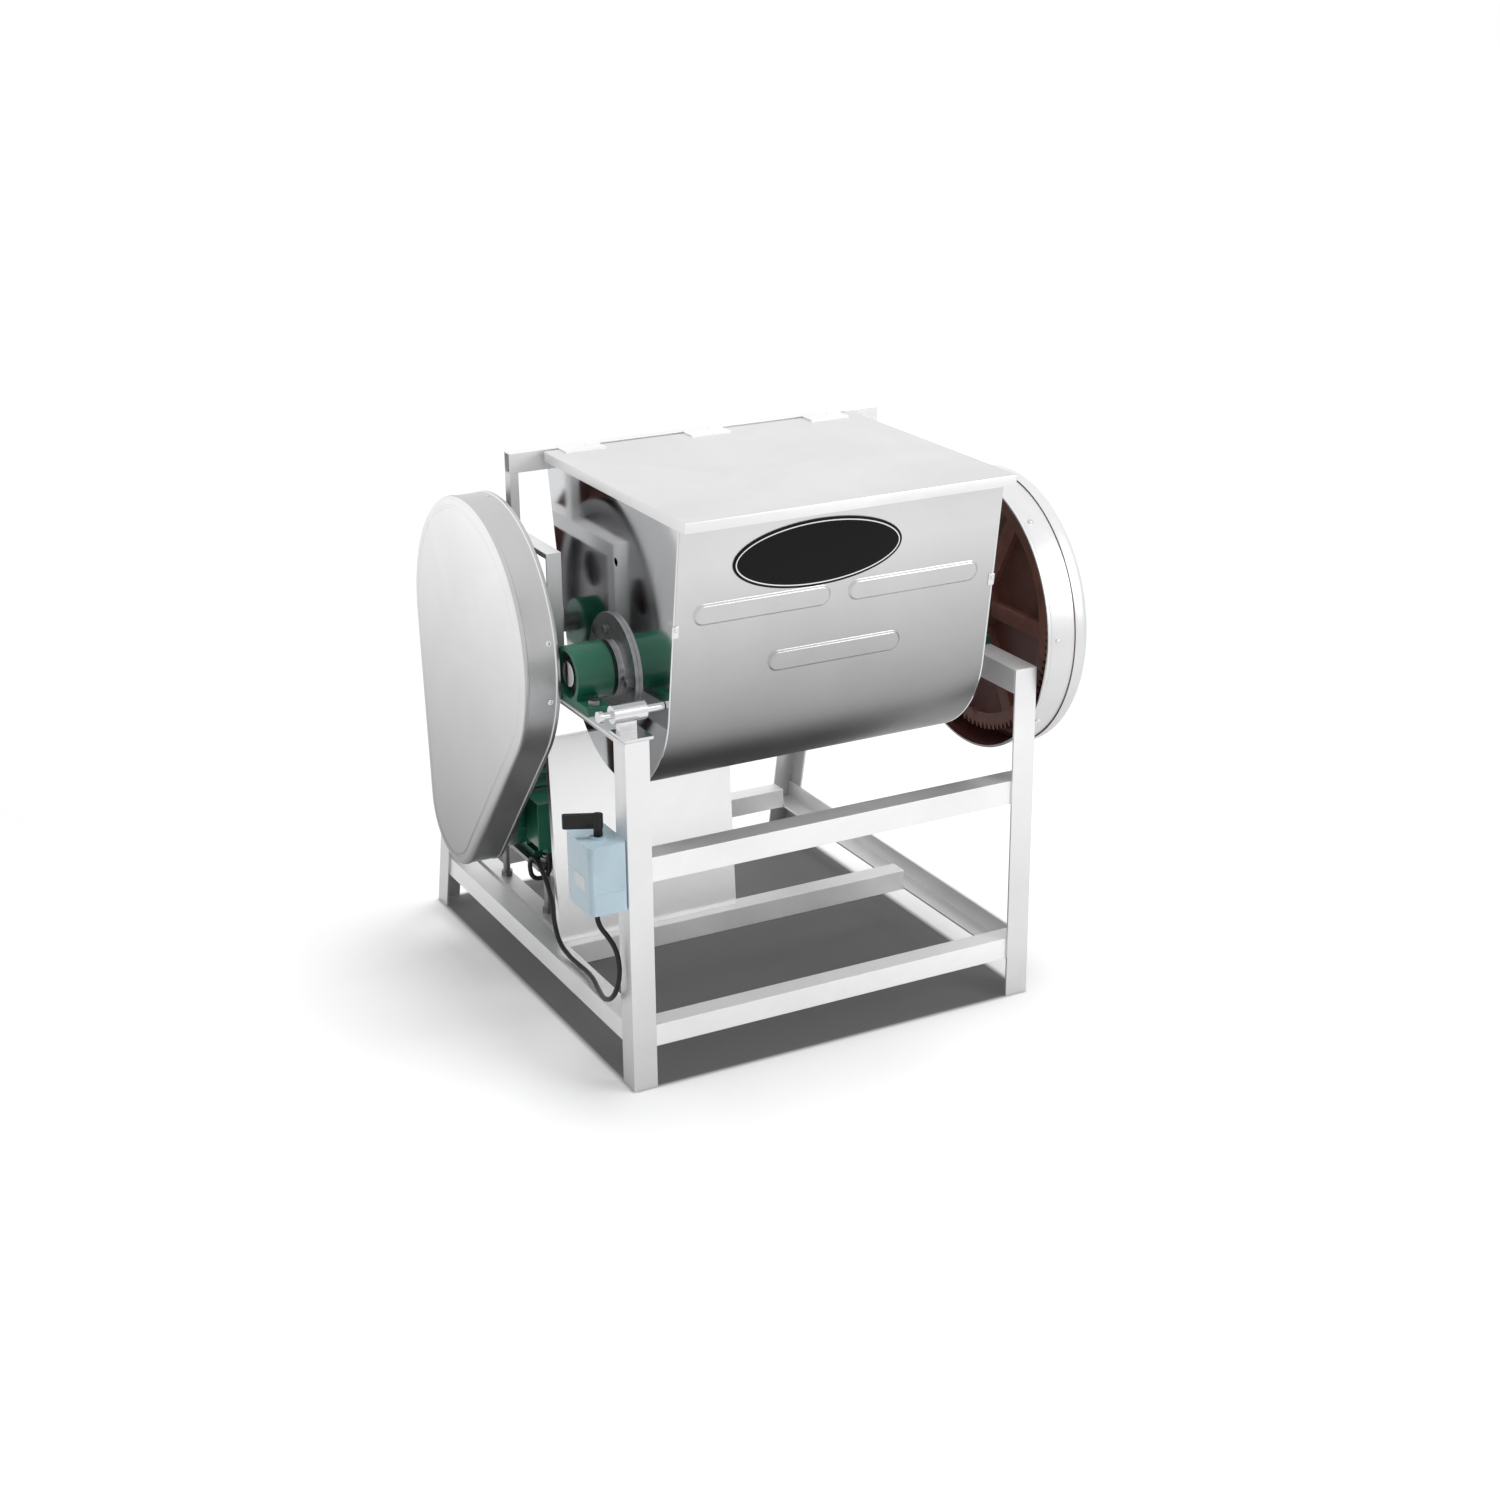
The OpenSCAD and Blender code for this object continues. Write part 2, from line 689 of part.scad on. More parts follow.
// The lid's leaves hold the two outer knuckles and lie on the lid.
module lid_hinge_leaves() placed() color(stainless) for (x = hinge_xs)
    difference() {
        union() {
            translate([x - hinge_w / 2, hinge_y - leaf_l, lid_top]) cube([hinge_w, leaf_l, leaf_t]);
            for (s = [-1, 1]) rod_x(
                x + s * knuckle_third - (knuckle_third - knuckle_gap) / 2 + s * knuckle_gap / 2,
                knuckle_third - knuckle_gap, knuckle_r, hinge_y, hinge_z);
        }
        rod_x(x - hinge_w, 2 * hinge_w, hinge_pin_r + run, hinge_y, hinge_z);
        translate([x - knuckle_third / 2 - knuckle_gap, hinge_y - knuckle_r - fit, hinge_z - 2 * knuckle_r])
            cube([knuckle_third + 2 * knuckle_gap, 4 * knuckle_r, 4 * knuckle_r]);
    }

leaf_edge = 4;
leaf_drop = rim_band - leaf_edge;

// The bowl's leaves lie on the rear band and hold the middle knuckles.
module bowl_hinge_leaves() placed() color(stainless) for (x = hinge_xs) {
    difference() {
        union() {
            rod_x(x - knuckle_third / 2, knuckle_third, knuckle_r, hinge_y, hinge_z);
            translate([x - knuckle_third / 2, rim_rear_y, hinge_z - leaf_drop])
                cube([knuckle_third, leaf_t, leaf_drop]);
        }
        rod_x(x - hinge_w, 2 * hinge_w, hinge_pin_r + run, hinge_y, hinge_z);
    }
    translate([x - hinge_w / 2, rim_rear_y, hinge_z - leaf_drop])
        cube([hinge_w, leaf_t, leaf_drop - knuckle_r - 2 * fit]);
}

module hinge_pins() placed() color(dark_steel) for (x = hinge_xs)
    rod_x(x - hinge_w / 2, hinge_w, hinge_pin_r, hinge_y, hinge_z);

shaft_x0 = housing_x0 + 2;
shaft_x1 = gear_x1;
gear_seat_r = shaft_r - 2;

module main_shaft() placed() color(stainless) {
    rod_x(shaft_x0, gear_x0 - shaft_x0, shaft_r, shaft_y, shaft_z);
    rod_x(gear_x0, shaft_x1 - gear_x0, gear_seat_r, shaft_y, shaft_z);
}

stir_gap = 26;
stir_x0 = bowl_x0 + bowl_t + stir_gap;
stir_x1 = bowl_x1 - bowl_t - stir_gap;
stir_rings = 28;

// One ring of a bar's section at a share t of its way along the bowl.
function bar_ring(t, phase) =
    let (a = phase + bar_turn * t, x = stir_x0 + (stir_x1 - stir_x0) * t)
    [for (c = [[-1, -1], [1, -1], [1, 1], [-1, 1]])
        let (r = stir_r - bar_t / 2 + c[0] * bar_t / 2, b = a + c[1] * bar_w / 2 / stir_r * 180 / PI)
        [x, shaft_y + r * cos(b), shaft_z + r * sin(b)]];

module helical_bar(phase) {
    pts = [for (i = [0 : stir_rings], p = bar_ring(i / stir_rings, phase)) p];
    faces = [
        for (i = [0 : stir_rings - 1], j = [0 : 3])
            let (a = 4 * i + j, b = 4 * i + (j + 1) % 4) each [[a, a + 4, b], [b, a + 4, b + 4]],
        [0, 1, 2], [0, 2, 3],
        for (f = [[2, 1, 0], [3, 2, 0]]) [for (k = f) 4 * stir_rings + k]
    ];
    polyhedron(pts, faces);
}

arm_w = 34;
arm_hub_t = 13;
arm_hub_r = shaft_r + arm_hub_t;
arm_hub_w = 44;
arm_gap = 1.2;
arm_shares = [0.04, 0.35, 0.65, 0.96];
bar_phases = [15, 195];

module stirring_bars() placed() color(stainless) for (p = bar_phases) helical_bar(p);

// Radial arms on hubs hold both bars; each tip ends flat under its bar.
module stirring_arms() placed() color(stainless) for (t = arm_shares) {
    x = stir_x0 + (stir_x1 - stir_x0) * t;
    difference() {
        union() {
            rod_x(x - arm_hub_w / 2, arm_hub_w, arm_hub_r, shaft_y, shaft_z);
            for (p = bar_phases) translate([x, shaft_y, shaft_z]) rotate([p + bar_turn * t, 0, 0])
                translate([-arm_w / 2, 0, -bar_t / 2])
                    cube([arm_w, stir_r - bar_t - arm_gap, bar_t]);
        }
        rod_x(x - arm_hub_w, 2 * arm_hub_w, shaft_r, shaft_y, shaft_z);
    }
}

pressure_a = 20;

// The involute of an angle, in degrees, for a radius over a base circle.
function involute(r, rb) = tan(acos(rb / r)) * 180 / PI - acos(rb / r);

function half_tooth(z, r) =
    let (rp = gear_m * z / 2, rb = rp * cos(pressure_a))
    90 / z + involute(rp, rb) - involute(max(r, rb), rb) - backlash / 4 / rp * 180 / PI;

// Outline of a gear: the flanks pass through the given heights over the pitch circle.
function gear_points(z, turn, heights) = [
    for (i = [0 : z - 1], s = [-1, 1], k = [0 : len(heights) - 1])
        let (
            r = gear_m * z / 2 + gear_m * heights[s < 0 ? k : len(heights) - 1 - k],
            a = turn + i * 360 / z + s * half_tooth(z, r)
        )
        r * [cos(a), sin(a)]
];

gear_heights = [-1.25, 1];
pinion_heights = [-1.25, -0.5, 0, 0.5, 1];

rim_t = 24;
rim_r = gear_m * gear_z / 2 - rim_t;
gear_hub_r = 46;
web_t = 12;
rib_count = 6;
gear_rib_w = 28;
gear_rib_inset = 6;
gear_rib_lap = 4;

module main_gear() placed() color(red_brown) difference() {
    union() {
        difference() {
            along_x(gear_x0, gear_w) translate(main_c) polygon(gear_points(gear_z, 180, gear_heights));
            rod_x(gear_x0 - 1, (gear_w - web_t) / 2 + 1, rim_r, shaft_y, shaft_z);
            rod_x(gear_x1 - (gear_w - web_t) / 2, gear_w, rim_r, shaft_y, shaft_z);
        }
        rod_x(gear_x0, gear_w, gear_hub_r, shaft_y, shaft_z);
        for (i = [0 : rib_count - 1]) translate([gear_x0 + gear_rib_inset, shaft_y, shaft_z])
            rotate([180 + i * 360 / rib_count, 0, 0]) translate([0, 0, -gear_rib_w / 2])
                cube([gear_w - 2 * gear_rib_inset, rim_r + gear_rib_lap, gear_rib_w]);
    }
    rod_x(gear_x0 - 1, gear_w + 2, gear_seat_r, shaft_y, shaft_z);
}

washer_r = 34;
washer_t = 5;
end_cap_r = 14;
end_cap_t = 5;

module gear_washer() placed() color(dark_steel) {
    rod_x(gear_x1, washer_t, washer_r, shaft_y, shaft_z);
    rod_x(gear_x1 + washer_t, end_cap_t, end_cap_r, shaft_y, shaft_z);
}

module pinion() placed() color(dark_steel) difference() {
    along_x(gear_x0, gear_w) translate(counter_c)
        polygon(gear_points(pinion_z, pinion_turn, pinion_heights));
    rod_x(gear_x0 - 1, gear_w + 2, counter_r, counter_y, counter_z);
}

// An even gear points a tooth at the pinion, so a gap of the pinion points back.
pinion_turn = 180 + (gear_z % 2 == 0 ? 180 / pinion_z : 0);

neck_share = 0.8;
bolt_x = iron / 2 - 1;

// A bearing housing: a barrel on a bolted foot, with a nose toward the bowl.
module housing_foot(y, pitch, r) {
    w = pitch + 4 * bolt_r;
    difference() {
        union() {
            translate([housing_x0, y - w / 2, deck_h]) cube([foot_w, w, foot_t]);
            translate([housing_x0, y - r * neck_share, deck_h])
                cube([foot_w, 2 * r * neck_share, shaft_over_deck]);
        }
        for (s = [-1, 1]) translate([bolt_x, y + s * pitch / 2, deck_h - 1])
            cylinder(r = bolt_r + fit / 2, h = foot_t + 2);
    }
}

module main_housing() {
    difference() {
        union() {
            rod_x(housing_x0, housing_l, housing_r, shaft_y, shaft_z);
            rod_x(housing_x1, nose_x1 - housing_x1 - fit, nose_r, shaft_y, shaft_z);
            housing_foot(shaft_y, foot_pitch, housing_r);
        }
        rod_x(housing_x0 - 1, bearing_seat + 1, bearing_r, shaft_y, shaft_z);
        rod_x(housing_x0, nose_x1, shaft_r + 1, shaft_y, shaft_z);
    }
}

module left_main_housing() placed() color(green) main_housing();

module right_main_housing() placed() color(green)
    translate([frame_w, 0, 0]) mirror([1, 0, 0]) main_housing();

seat_depth = 12;
bearing_seat = bearing_w + seat_depth;
press = 0.05;
race_step = 1.5;
race_t = 4;

module bearing_ring(x0, r_out, r_in, y, z) {
    difference() {
        rod_x(x0, bearing_w, r_out - press, y, z);
        rod_x(x0 - 1, bearing_w + 2, r_in + run, y, z);
        for (x = [x0 - 1, x0 + bearing_w - race_step]) difference() {
            rod_x(x, race_step + 1, r_out - race_t, y, z);
            rod_x(x - 1, race_step + 3, r_in + race_t, y, z);
        }
    }
}

module main_bearings() placed() color(dark_steel) both_sides()
    bearing_ring(housing_x0 + bearing_seat - bearing_w, bearing_r, shaft_r, shaft_y, shaft_z);

barrel_out = 4;
counter_seat = 6;

module counter_housings() placed() color(green) both_sides() difference() {
    union() {
        rod_x(housing_x0, foot_w + barrel_out, counter_housing_r, counter_y, counter_z);
        housing_foot(counter_y, counter_pitch, counter_housing_r);
    }
    rod_x(housing_x0 - 1, bearing_w + counter_seat + 1, counter_bearing_r, counter_y, counter_z);
    rod_x(housing_x0 - 1, foot_w + barrel_out + 2, counter_r + 1, counter_y, counter_z);
}

module counter_bearings() placed() color(dark_steel) both_sides()
    bearing_ring(housing_x0 + counter_seat, counter_bearing_r, counter_r, counter_y, counter_z);

bolt_head_h = 8;
bolt_head_r = 10;

module deck_bolt(y) {
    translate([bolt_x, y, deck_h]) {
        cylinder(r = bolt_r, h = foot_t);
        translate([0, 0, foot_t]) cylinder(r = bolt_head_r, h = bolt_head_h, $fn = 6);
    }
}

module housing_bolts() placed() color(dark_steel) both_sides() for (s = [-1, 1]) {
    deck_bolt(shaft_y + s * foot_pitch / 2);
    deck_bolt(counter_y + s * counter_pitch / 2);
}

pulley_end = 3;
pinion_end = 4;
counter_x0 = pulley_x0 - pulley_end;
counter_x1 = gear_x1 + pinion_end;

module countershaft() placed() color(dark_steel)
    rod_x(counter_x0, counter_x1 - counter_x0, counter_r, counter_y, counter_z);

groove_w = belt_w + 1;
pulley_rim_t = 12;
pulley_web_t = 10;
web_holes = 6;
web_hole_r = 30;
big_hub_r = 34;
small_hub_r = 24;

// A pulley profile with two grooves for the belts.
module grooved_pulley(r, groove_r, hub_r, bore_r, y, z, web) {
    difference() {
        rod_x(pulley_x0, pulley_w, r, y, z);
        for (x = belt_xs) difference() {
            rod_x(x - groove_w / 2, groove_w, r + 1, y, z);
            rod_x(x - groove_w / 2 - 1, groove_w + 2, groove_r - fit, y, z);
        }
        if (web > 0) {
            for (x = [pulley_x0 - 1, pulley_x1 - (pulley_w - web) / 2]) difference() {
                rod_x(x, (pulley_w - web) / 2 + 1, groove_r - pulley_rim_t, y, z);
                rod_x(x - 1, pulley_w, hub_r, y, z);
            }
            for (i = [0 : web_holes - 1]) translate([0, y, z]) rotate([(i + 0.5) * 360 / web_holes, 0, 0])
                rod_x(pulley_x0, pulley_w, web_hole_r, (groove_r + hub_r) / 2, 0);
        }
        rod_x(pulley_x0 - 1, pulley_w + 2, bore_r, y, z);
    }
}

module large_pulley() placed() color(dark_steel)
    grooved_pulley(big_pulley_r, big_groove_r, big_hub_r, counter_r, counter_y, counter_z, pulley_web_t);

module motor_pulley() placed() color(dark_steel)
    grooved_pulley(small_pulley_r, small_groove_r, small_hub_r, motor_shaft_r, motor_y, motor_z, 0);

module belts() placed() color(black) for (x = belt_xs) difference() {
    pear(x - belt_w / 2, belt_w, big_pulley_r, counter_c, small_pulley_r, motor_c);
    pear(x - belt_w / 2 - 1, belt_w + 2, big_groove_r, counter_c, small_groove_r, motor_c);
}

// Steps round a folded edge: how far in and how far back each one lies.
function edge_steps(r) = [for (a = [0, 22.5, 45, 67.5, 90]) r * [1 - sin(a), 1 - cos(a)]];

// Slabs of the belt cover's outline, drawn in from its rim by a distance.
module belt_pear(x0, x1, inset) {
    pear(x0, x1 - x0, belt_cover_r - inset, counter_c, belt_cover_small_r - inset, motor_c);
}

// A shallow pan, open toward the stand, with a stepped outer edge.
module belt_cover() placed() color(white_sheet) difference() {
    for (s = edge_steps(cover_edge)) belt_pear(belt_cover_x0 + s[1], belt_cover_x1, s[0]);
    for (s = edge_steps(cover_edge))
        belt_pear(belt_cover_x0 + s[1] + cover_t, belt_cover_x1 + 1, s[0] + cover_t);
}

tab_t = 3;
tab_w = 26;
low_tab_reach = 10;

cap_edge = 16;

// Slabs of the gear cover's outline, drawn in from its band by a distance.
module gear_pear(x0, x1, inset) {
    pear(x0, x1 - x0, gear_cover_r - inset, gear_cover_c, gear_cover_small_r - inset, counter_c);
}

module gear_cover_band() placed() color(white_sheet) difference() {
    gear_pear(band_x0, cap_x0, 0);
    gear_pear(band_x0 - 1, cap_x0 + 1, cover_t);
}

cap_lip = cover_t + fit;
cap_lap = 8;

// The cap's lip laps over the band, and its outer edge is stepped.
module gear_cover_cap() placed() color(white_sheet) difference() {
    for (s = edge_steps(cap_edge)) gear_pear(cap_x0 - cap_lap, cap_x1 - s[1], s[0] - cap_lip);
    for (s = edge_steps(cap_edge))
        gear_pear(cap_x0 - cap_lap - 1, cap_x1 - s[1] - cover_t, s[0] + cover_t - cap_lip);
}

// Tabs on the deck rails and on the front right leg hold the covers from inside.
module cover_tabs() placed() color(stainless) {
    a = asin((shaft_over_deck - tab_w / 5) / belt_cover_r);
    for (s = [-1, 1]) translate([-tab_w, counter_y, counter_z]) rotate([-s * a, 0, 0])
        translate([0, s * (belt_cover_r - cover_t - tab_t / 2 - 2 * fit) - tab_t / 2, -tab_w / 2])
            cube([tab_w, tab_t, tab_w]);
    b = acos((shaft_y - iron / 2) / (gear_cover_r - cover_t));
    translate([frame_w, gear_cover_c[0], gear_cover_c[1]]) rotate([180 + b, 0, 0])
        translate([0, gear_cover_r - cover_t - tab_t - 2 * fit, -tab_w / 2]) cube([tab_w, tab_t, tab_w]);
    low_r = gear_cover_small_r - cover_t;
    half = sqrt(pow(low_r, 2) - pow(shaft_over_deck + tab_t, 2)) - fit;
    translate([frame_w, counter_y - half, deck_h - tab_t]) cube([tab_w + low_tab_reach, 2 * half, tab_t]);
}

bell_l = 26;
cowl_l = 52;
cowl_t = 3;
motor_back_x = motor_end_x + bell_l;
term_x0 = 36;
term_w = 84;
term_d = 54;
term_z0 = 240;
term_h = 78;
term_sink = 8;
term_y1 = motor_y - motor_r + term_sink;
term_lip = 2;
term_lid_t = 4;
foot_l = 40;
foot_half = 68;
fin_spread = 56;
fin_t = 3;
fin_gap = 3;
bell_drop = 3;
boss_l = 8;
foot_plate_t = 12;

// Finned barrel with two bells, two feet and a flat pad for the terminal box.
module motor_body() placed() color(green) {
    fin_x0 = motor_face_x + bell_l + fin_gap;
    fin_x1 = motor_end_x - fin_gap;
    difference() {
        union() {
            rod_x(motor_face_x, motor_back_x - motor_face_x, motor_r - fin_h, motor_y, motor_z);
            for (x = [motor_face_x, motor_end_x]) rod_x(x, bell_l, motor_r - bell_drop, motor_y, motor_z);
            rod_x(motor_face_x - boss_l, boss_l + 2, motor_r / 2, motor_y, motor_z);
            for (s = [0, 180], i = [0 : fin_count - 1]) translate([fin_x0, motor_y, motor_z])
                rotate([s - fin_spread + 2 * i * fin_spread / (fin_count - 1), 0, 0])
                    translate([0, motor_r - 2 * fin_h, -fin_t / 2])
                        cube([fin_x1 - fin_x0, 2 * fin_h, fin_t]);
            for (x = [fin_x0 + 2, fin_x1 - 2 - foot_l]) translate([x, motor_y - foot_half, motor_base_z]) {
                cube([foot_l, 2 * foot_half, foot_plate_t]);
                translate([0, foot_half / 2, 0]) cube([foot_l, foot_half, motor_centre_h / 2]);
            }
        }
        rod_x(motor_face_x - 2 * boss_l, motor_l + bell_l + 4 * boss_l, motor_shaft_r + run,
            motor_y, motor_z);
        translate([term_x0 - 1, term_y1 - term_d, term_z0 - 1]) cube([term_w + 2, term_d, term_h + 2]);
    }
}

vent_rings = 4;
vent_r = 4.5;
vent_pitch = motor_r / 5.2;

// A cup over the fan with rings of air holes in its end.
module fan_cowl() placed() color(green) difference() {
    rod_x(motor_back_x, cowl_l, motor_r, motor_y, motor_z);
    rod_x(motor_back_x - 1, cowl_l - cowl_t + 1, motor_r - cowl_t, motor_y, motor_z);
    for (k = [1 : vent_rings], i = [0 : 6 * k - 1])
        translate([0, motor_y, motor_z]) rotate([i * 60 / k, 0, 0])
            rod_x(motor_back_x + cowl_l - cowl_t - 1, cowl_t + 2, vent_r, k * vent_pitch, 0);
}

fan_gap = 10;
fan_x0 = motor_back_x + fan_gap;
fan_hub_l = 8;
fan_hub_r = 26;
blade_count = 7;
blade_root = 20;
blade_w = 26;
blade_l = 46;
blade_t = 4;

module motor_fan() placed() color(black) difference() {
    union() {
        rod_x(fan_x0, fan_hub_l, fan_hub_r, motor_y, motor_z);
        for (i = [0 : blade_count - 1]) translate([fan_x0, motor_y, motor_z])
            rotate([i * 360 / blade_count, 0, 0])
                translate([0, blade_root, -blade_t / 2]) cube([blade_w, blade_l, blade_t]);
    }
    rod_x(fan_x0 - 1, blade_w + 2, motor_shaft_r, motor_y, motor_z);
}

pulley_tip = 2;
fan_tip = 12;
rotor_x0 = pulley_x0 - pulley_tip;

module motor_shaft() placed() color(dark_steel)
    rod_x(rotor_x0, fan_x0 + fan_tip - rotor_x0, motor_shaft_r, motor_y, motor_z);

gland_r = 10;

module terminal_box() placed() color(green) {
    translate([term_x0, term_y1 - term_d, term_z0]) cube([term_w, term_d, term_h]);
    translate([term_x0 - term_lip, term_y1 - term_d - term_lid_t, term_z0 - term_lip])
        cube([term_w + 2 * term_lip, term_lid_t, term_h + 2 * term_lip]);
    translate(cable_end) cylinder(r = gland_r, h = term_z0 - cable_end[2], $fn = 6);
}

module rounded_box(w, d, h, r) {
    translate([r, 0, 0]) cube([w - 2 * r, d, h]);
    translate([0, r, 0]) cube([w, d - 2 * r, h]);
    for (x = [r, w - r], y = [r, d - r]) translate([x, y, 0]) cylinder(r = r, h = h, $fn = 32);
}

label_t = 0.8;
label_edge = 6;
label_z = 33;
label_h = 37.4;
collar_r = 13;
collar_h = 3;
spindle_r = 5;
spindle_l = 18;

// The front has a shallow recess for a label, and the gland hangs below.
module switch_box() placed() color(pale_blue) difference() {
    union() {
        translate([box_x0, 0, box_z]) rounded_box(box_w, box_d, box_h, box_corner);
        translate(cable_start) cylinder(r = gland_r, h = box_z - cable_start[2], $fn = 6);
        translate([handle_x, handle_y, handle_z]) cylinder(r = collar_r, h = collar_h);
    }
    translate([handle_x, handle_y, handle_z - spindle_l - 2])
        cylinder(r = spindle_r + run, h = spindle_l + collar_h + 4);
    translate([box_x0 + label_edge, -1, box_z + label_z])
        cube([box_w - 2 * label_edge, 1 + label_t, label_h]);
}

stem_h = 38;
stem_r = 7;
handle_hub_r = 8;

module switch_handle() placed() color(black) translate([handle_x, handle_y, handle_z]) {
    translate([0, 0, -spindle_l]) cylinder(r = spindle_r, h = spindle_l + collar_h + 1);
    translate([0, 0, collar_h + fit]) cylinder(r = stem_r, h = stem_h - collar_h - fit);
    rotate([0, 0, 180 - handle_turn]) translate([0, 0, stem_h - grip_h]) {
        translate([0, -grip_r, 0]) cube([handle_l, 2 * grip_r, grip_h]);
        translate([handle_l, 0, 0]) cylinder(r = grip_r, h = grip_h);
        cylinder(r = handle_hub_r, h = grip_h);
    }
}

latch_plate_t = 5;
latch_x0 = -2;
latch_x1 = 52;
latch_plate_in = 2;
latch_plate_w = 46;
saddle_in = 10;
saddle_l = 28;
saddle_w = 14;

module latch() placed() color(stainless) difference() {
    union() {
        rod_x(latch_x0, latch_x1 - latch_x0, latch_r, latch_y, latch_z);
        translate([latch_plate_in, latch_plate_in, deck_h])
            cube([latch_plate_w, latch_y + latch_r, latch_plate_t]);
        translate([latch_x0 + saddle_in, latch_y - saddle_w / 2, deck_h])
            cube([saddle_l, saddle_w, latch_z - deck_h]);
    }
    rod_x(latch_x0 - 1, latch_x1 - latch_x0 + 2, plunger_r + run, latch_y, latch_z);
}

knob_gap = 14;
knob_l = 8;
knob_r = 9;

// The plunger slides into a locking hole when its knob is pushed to the barrel.
module latch_plunger() placed() color(stainless) {
    rod_x(latch_x0 - knob_gap, plunger_x1 - latch_x0 + knob_gap, plunger_r, latch_y, latch_z);
    rod_x(latch_x0 - knob_gap - knob_l, knob_l, knob_r, latch_y, latch_z);
}

function cable_dir(i) =
    let (v = cable_pts[min(i + 1, len(cable_pts) - 1)] - cable_pts[max(i - 1, 0)]) v / norm(v);

cable_aside = [0.97, 0.13, 0.2];

function cable_side(i) = let (s = cross(cable_dir(i), cable_aside)) s / norm(s);

// One swept tube: each ring faces along the cable at its point.
module power_cable() placed() color(black) {
    n = len(cable_pts);
    m = cable_sides;
    rings = [for (i = [0 : n - 1], j = [0 : m - 1])
        let (s = cable_side(i), u = cross(cable_dir(i), s), a = j * 360 / m)
        cable_pts[i] + cable_r * (cos(a) * s + sin(a) * u)];
    walls = [for (i = [0 : n - 2], j = [0 : m - 1])
        let (a = m * i + j, b = m * i + (j + 1) % m)
        each [[a, a + m, b], [b, a + m, b + m]]];
    ends = [[for (j = [0 : m - 1]) j], [for (j = [m - 1 : -1 : 0]) m * (n - 1) + j]];
    polyhedron(rings, concat(walls, ends));
}

front_left_leg();
front_right_leg();
rear_left_leg();
rear_right_leg();
left_deck_rail();
right_deck_rail();
rear_deck_rail();
front_middle_rail();
front_low_rail();
left_low_rail();
right_low_rail();
low_cross_rails();
side_frames();
rear_posts();
back_rail();
splash_panel();
motor_bearers();
motor_plate();
tension_studs();
bowl_wrapper();
bowl_left_end();
bowl_right_end();
hub_flanges();
hub_bolts();
bowl_bushes();
shaft_seals();
lid();
lid_hinge_leaves();
bowl_hinge_leaves();
hinge_pins();
main_shaft();
stirring_bars();
stirring_arms();
main_gear();
gear_washer();
left_main_housing();
right_main_housing();
main_bearings();
housing_bolts();
countershaft();
counter_housings();
counter_bearings();
large_pulley();
pinion();
belts();
belt_cover();
gear_cover_band();
gear_cover_cap();
cover_tabs();
motor_body();
fan_cowl();
motor_fan();
motor_shaft();
motor_pulley();
terminal_box();
switch_box();
switch_handle();
latch();
latch_plunger();
power_cable();
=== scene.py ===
import json
from math import acos, atan2, cos, pi, radians, sin

import bmesh
import bpy
from mathutils import Matrix, Vector


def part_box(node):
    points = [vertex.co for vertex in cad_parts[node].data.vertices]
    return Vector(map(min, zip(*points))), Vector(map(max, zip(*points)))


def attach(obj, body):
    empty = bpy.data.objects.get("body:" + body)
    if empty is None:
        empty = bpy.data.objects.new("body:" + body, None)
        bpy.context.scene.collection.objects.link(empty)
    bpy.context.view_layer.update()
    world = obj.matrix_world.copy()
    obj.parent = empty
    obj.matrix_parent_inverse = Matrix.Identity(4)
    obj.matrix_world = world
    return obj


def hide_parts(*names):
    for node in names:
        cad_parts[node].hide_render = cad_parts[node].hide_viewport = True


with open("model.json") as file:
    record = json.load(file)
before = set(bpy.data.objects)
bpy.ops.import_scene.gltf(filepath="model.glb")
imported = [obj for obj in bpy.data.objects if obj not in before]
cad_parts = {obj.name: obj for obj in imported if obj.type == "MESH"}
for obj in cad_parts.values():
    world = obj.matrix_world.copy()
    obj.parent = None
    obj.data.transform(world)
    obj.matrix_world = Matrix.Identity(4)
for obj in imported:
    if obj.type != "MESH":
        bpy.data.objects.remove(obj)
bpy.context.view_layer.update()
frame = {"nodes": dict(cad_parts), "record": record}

# Places are in millimetres from the outer corner of the front left leg's foot.
MM = 0.001
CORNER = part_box("front_left_leg")[0]
BODY_OF = {n: b for b, nodes in frame["record"]["behaviour"]["bodies"].items() for n in nodes}
SLOT_OF = {s["node"]: s["material_slot"] for s in frame["record"]["subparts"]}


def at(x, y, z):
    return CORNER + Vector((x, y, z)) * MM


def stand_box(node):
    """A node's lowest and highest corners in the stand's millimetres."""
    return [(c - CORNER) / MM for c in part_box(node)]


# Camera: the photograph's viewing angle, fitted to the stand's edges
CAMERA_PLACE = (-1374.3, -2999.1, 1806.0)
CAMERA_YAW = radians(27.78)
CAMERA_PITCH = radians(20.71)
CAMERA_ROLL = radians(-0.55)
FOCAL_PIXELS = 2424.3
PHOTO_PIXELS = 1500
SENSOR = 36.0
FARTHEST_SEEN = 50


def standing(x_axis, y_axis, z_axis, place):
    """The matrix that sets something on a place, with its own axes along the given ones."""
    axes = Matrix((x_axis, y_axis, z_axis)).transposed().to_4x4()
    return Matrix.Translation(place) @ axes


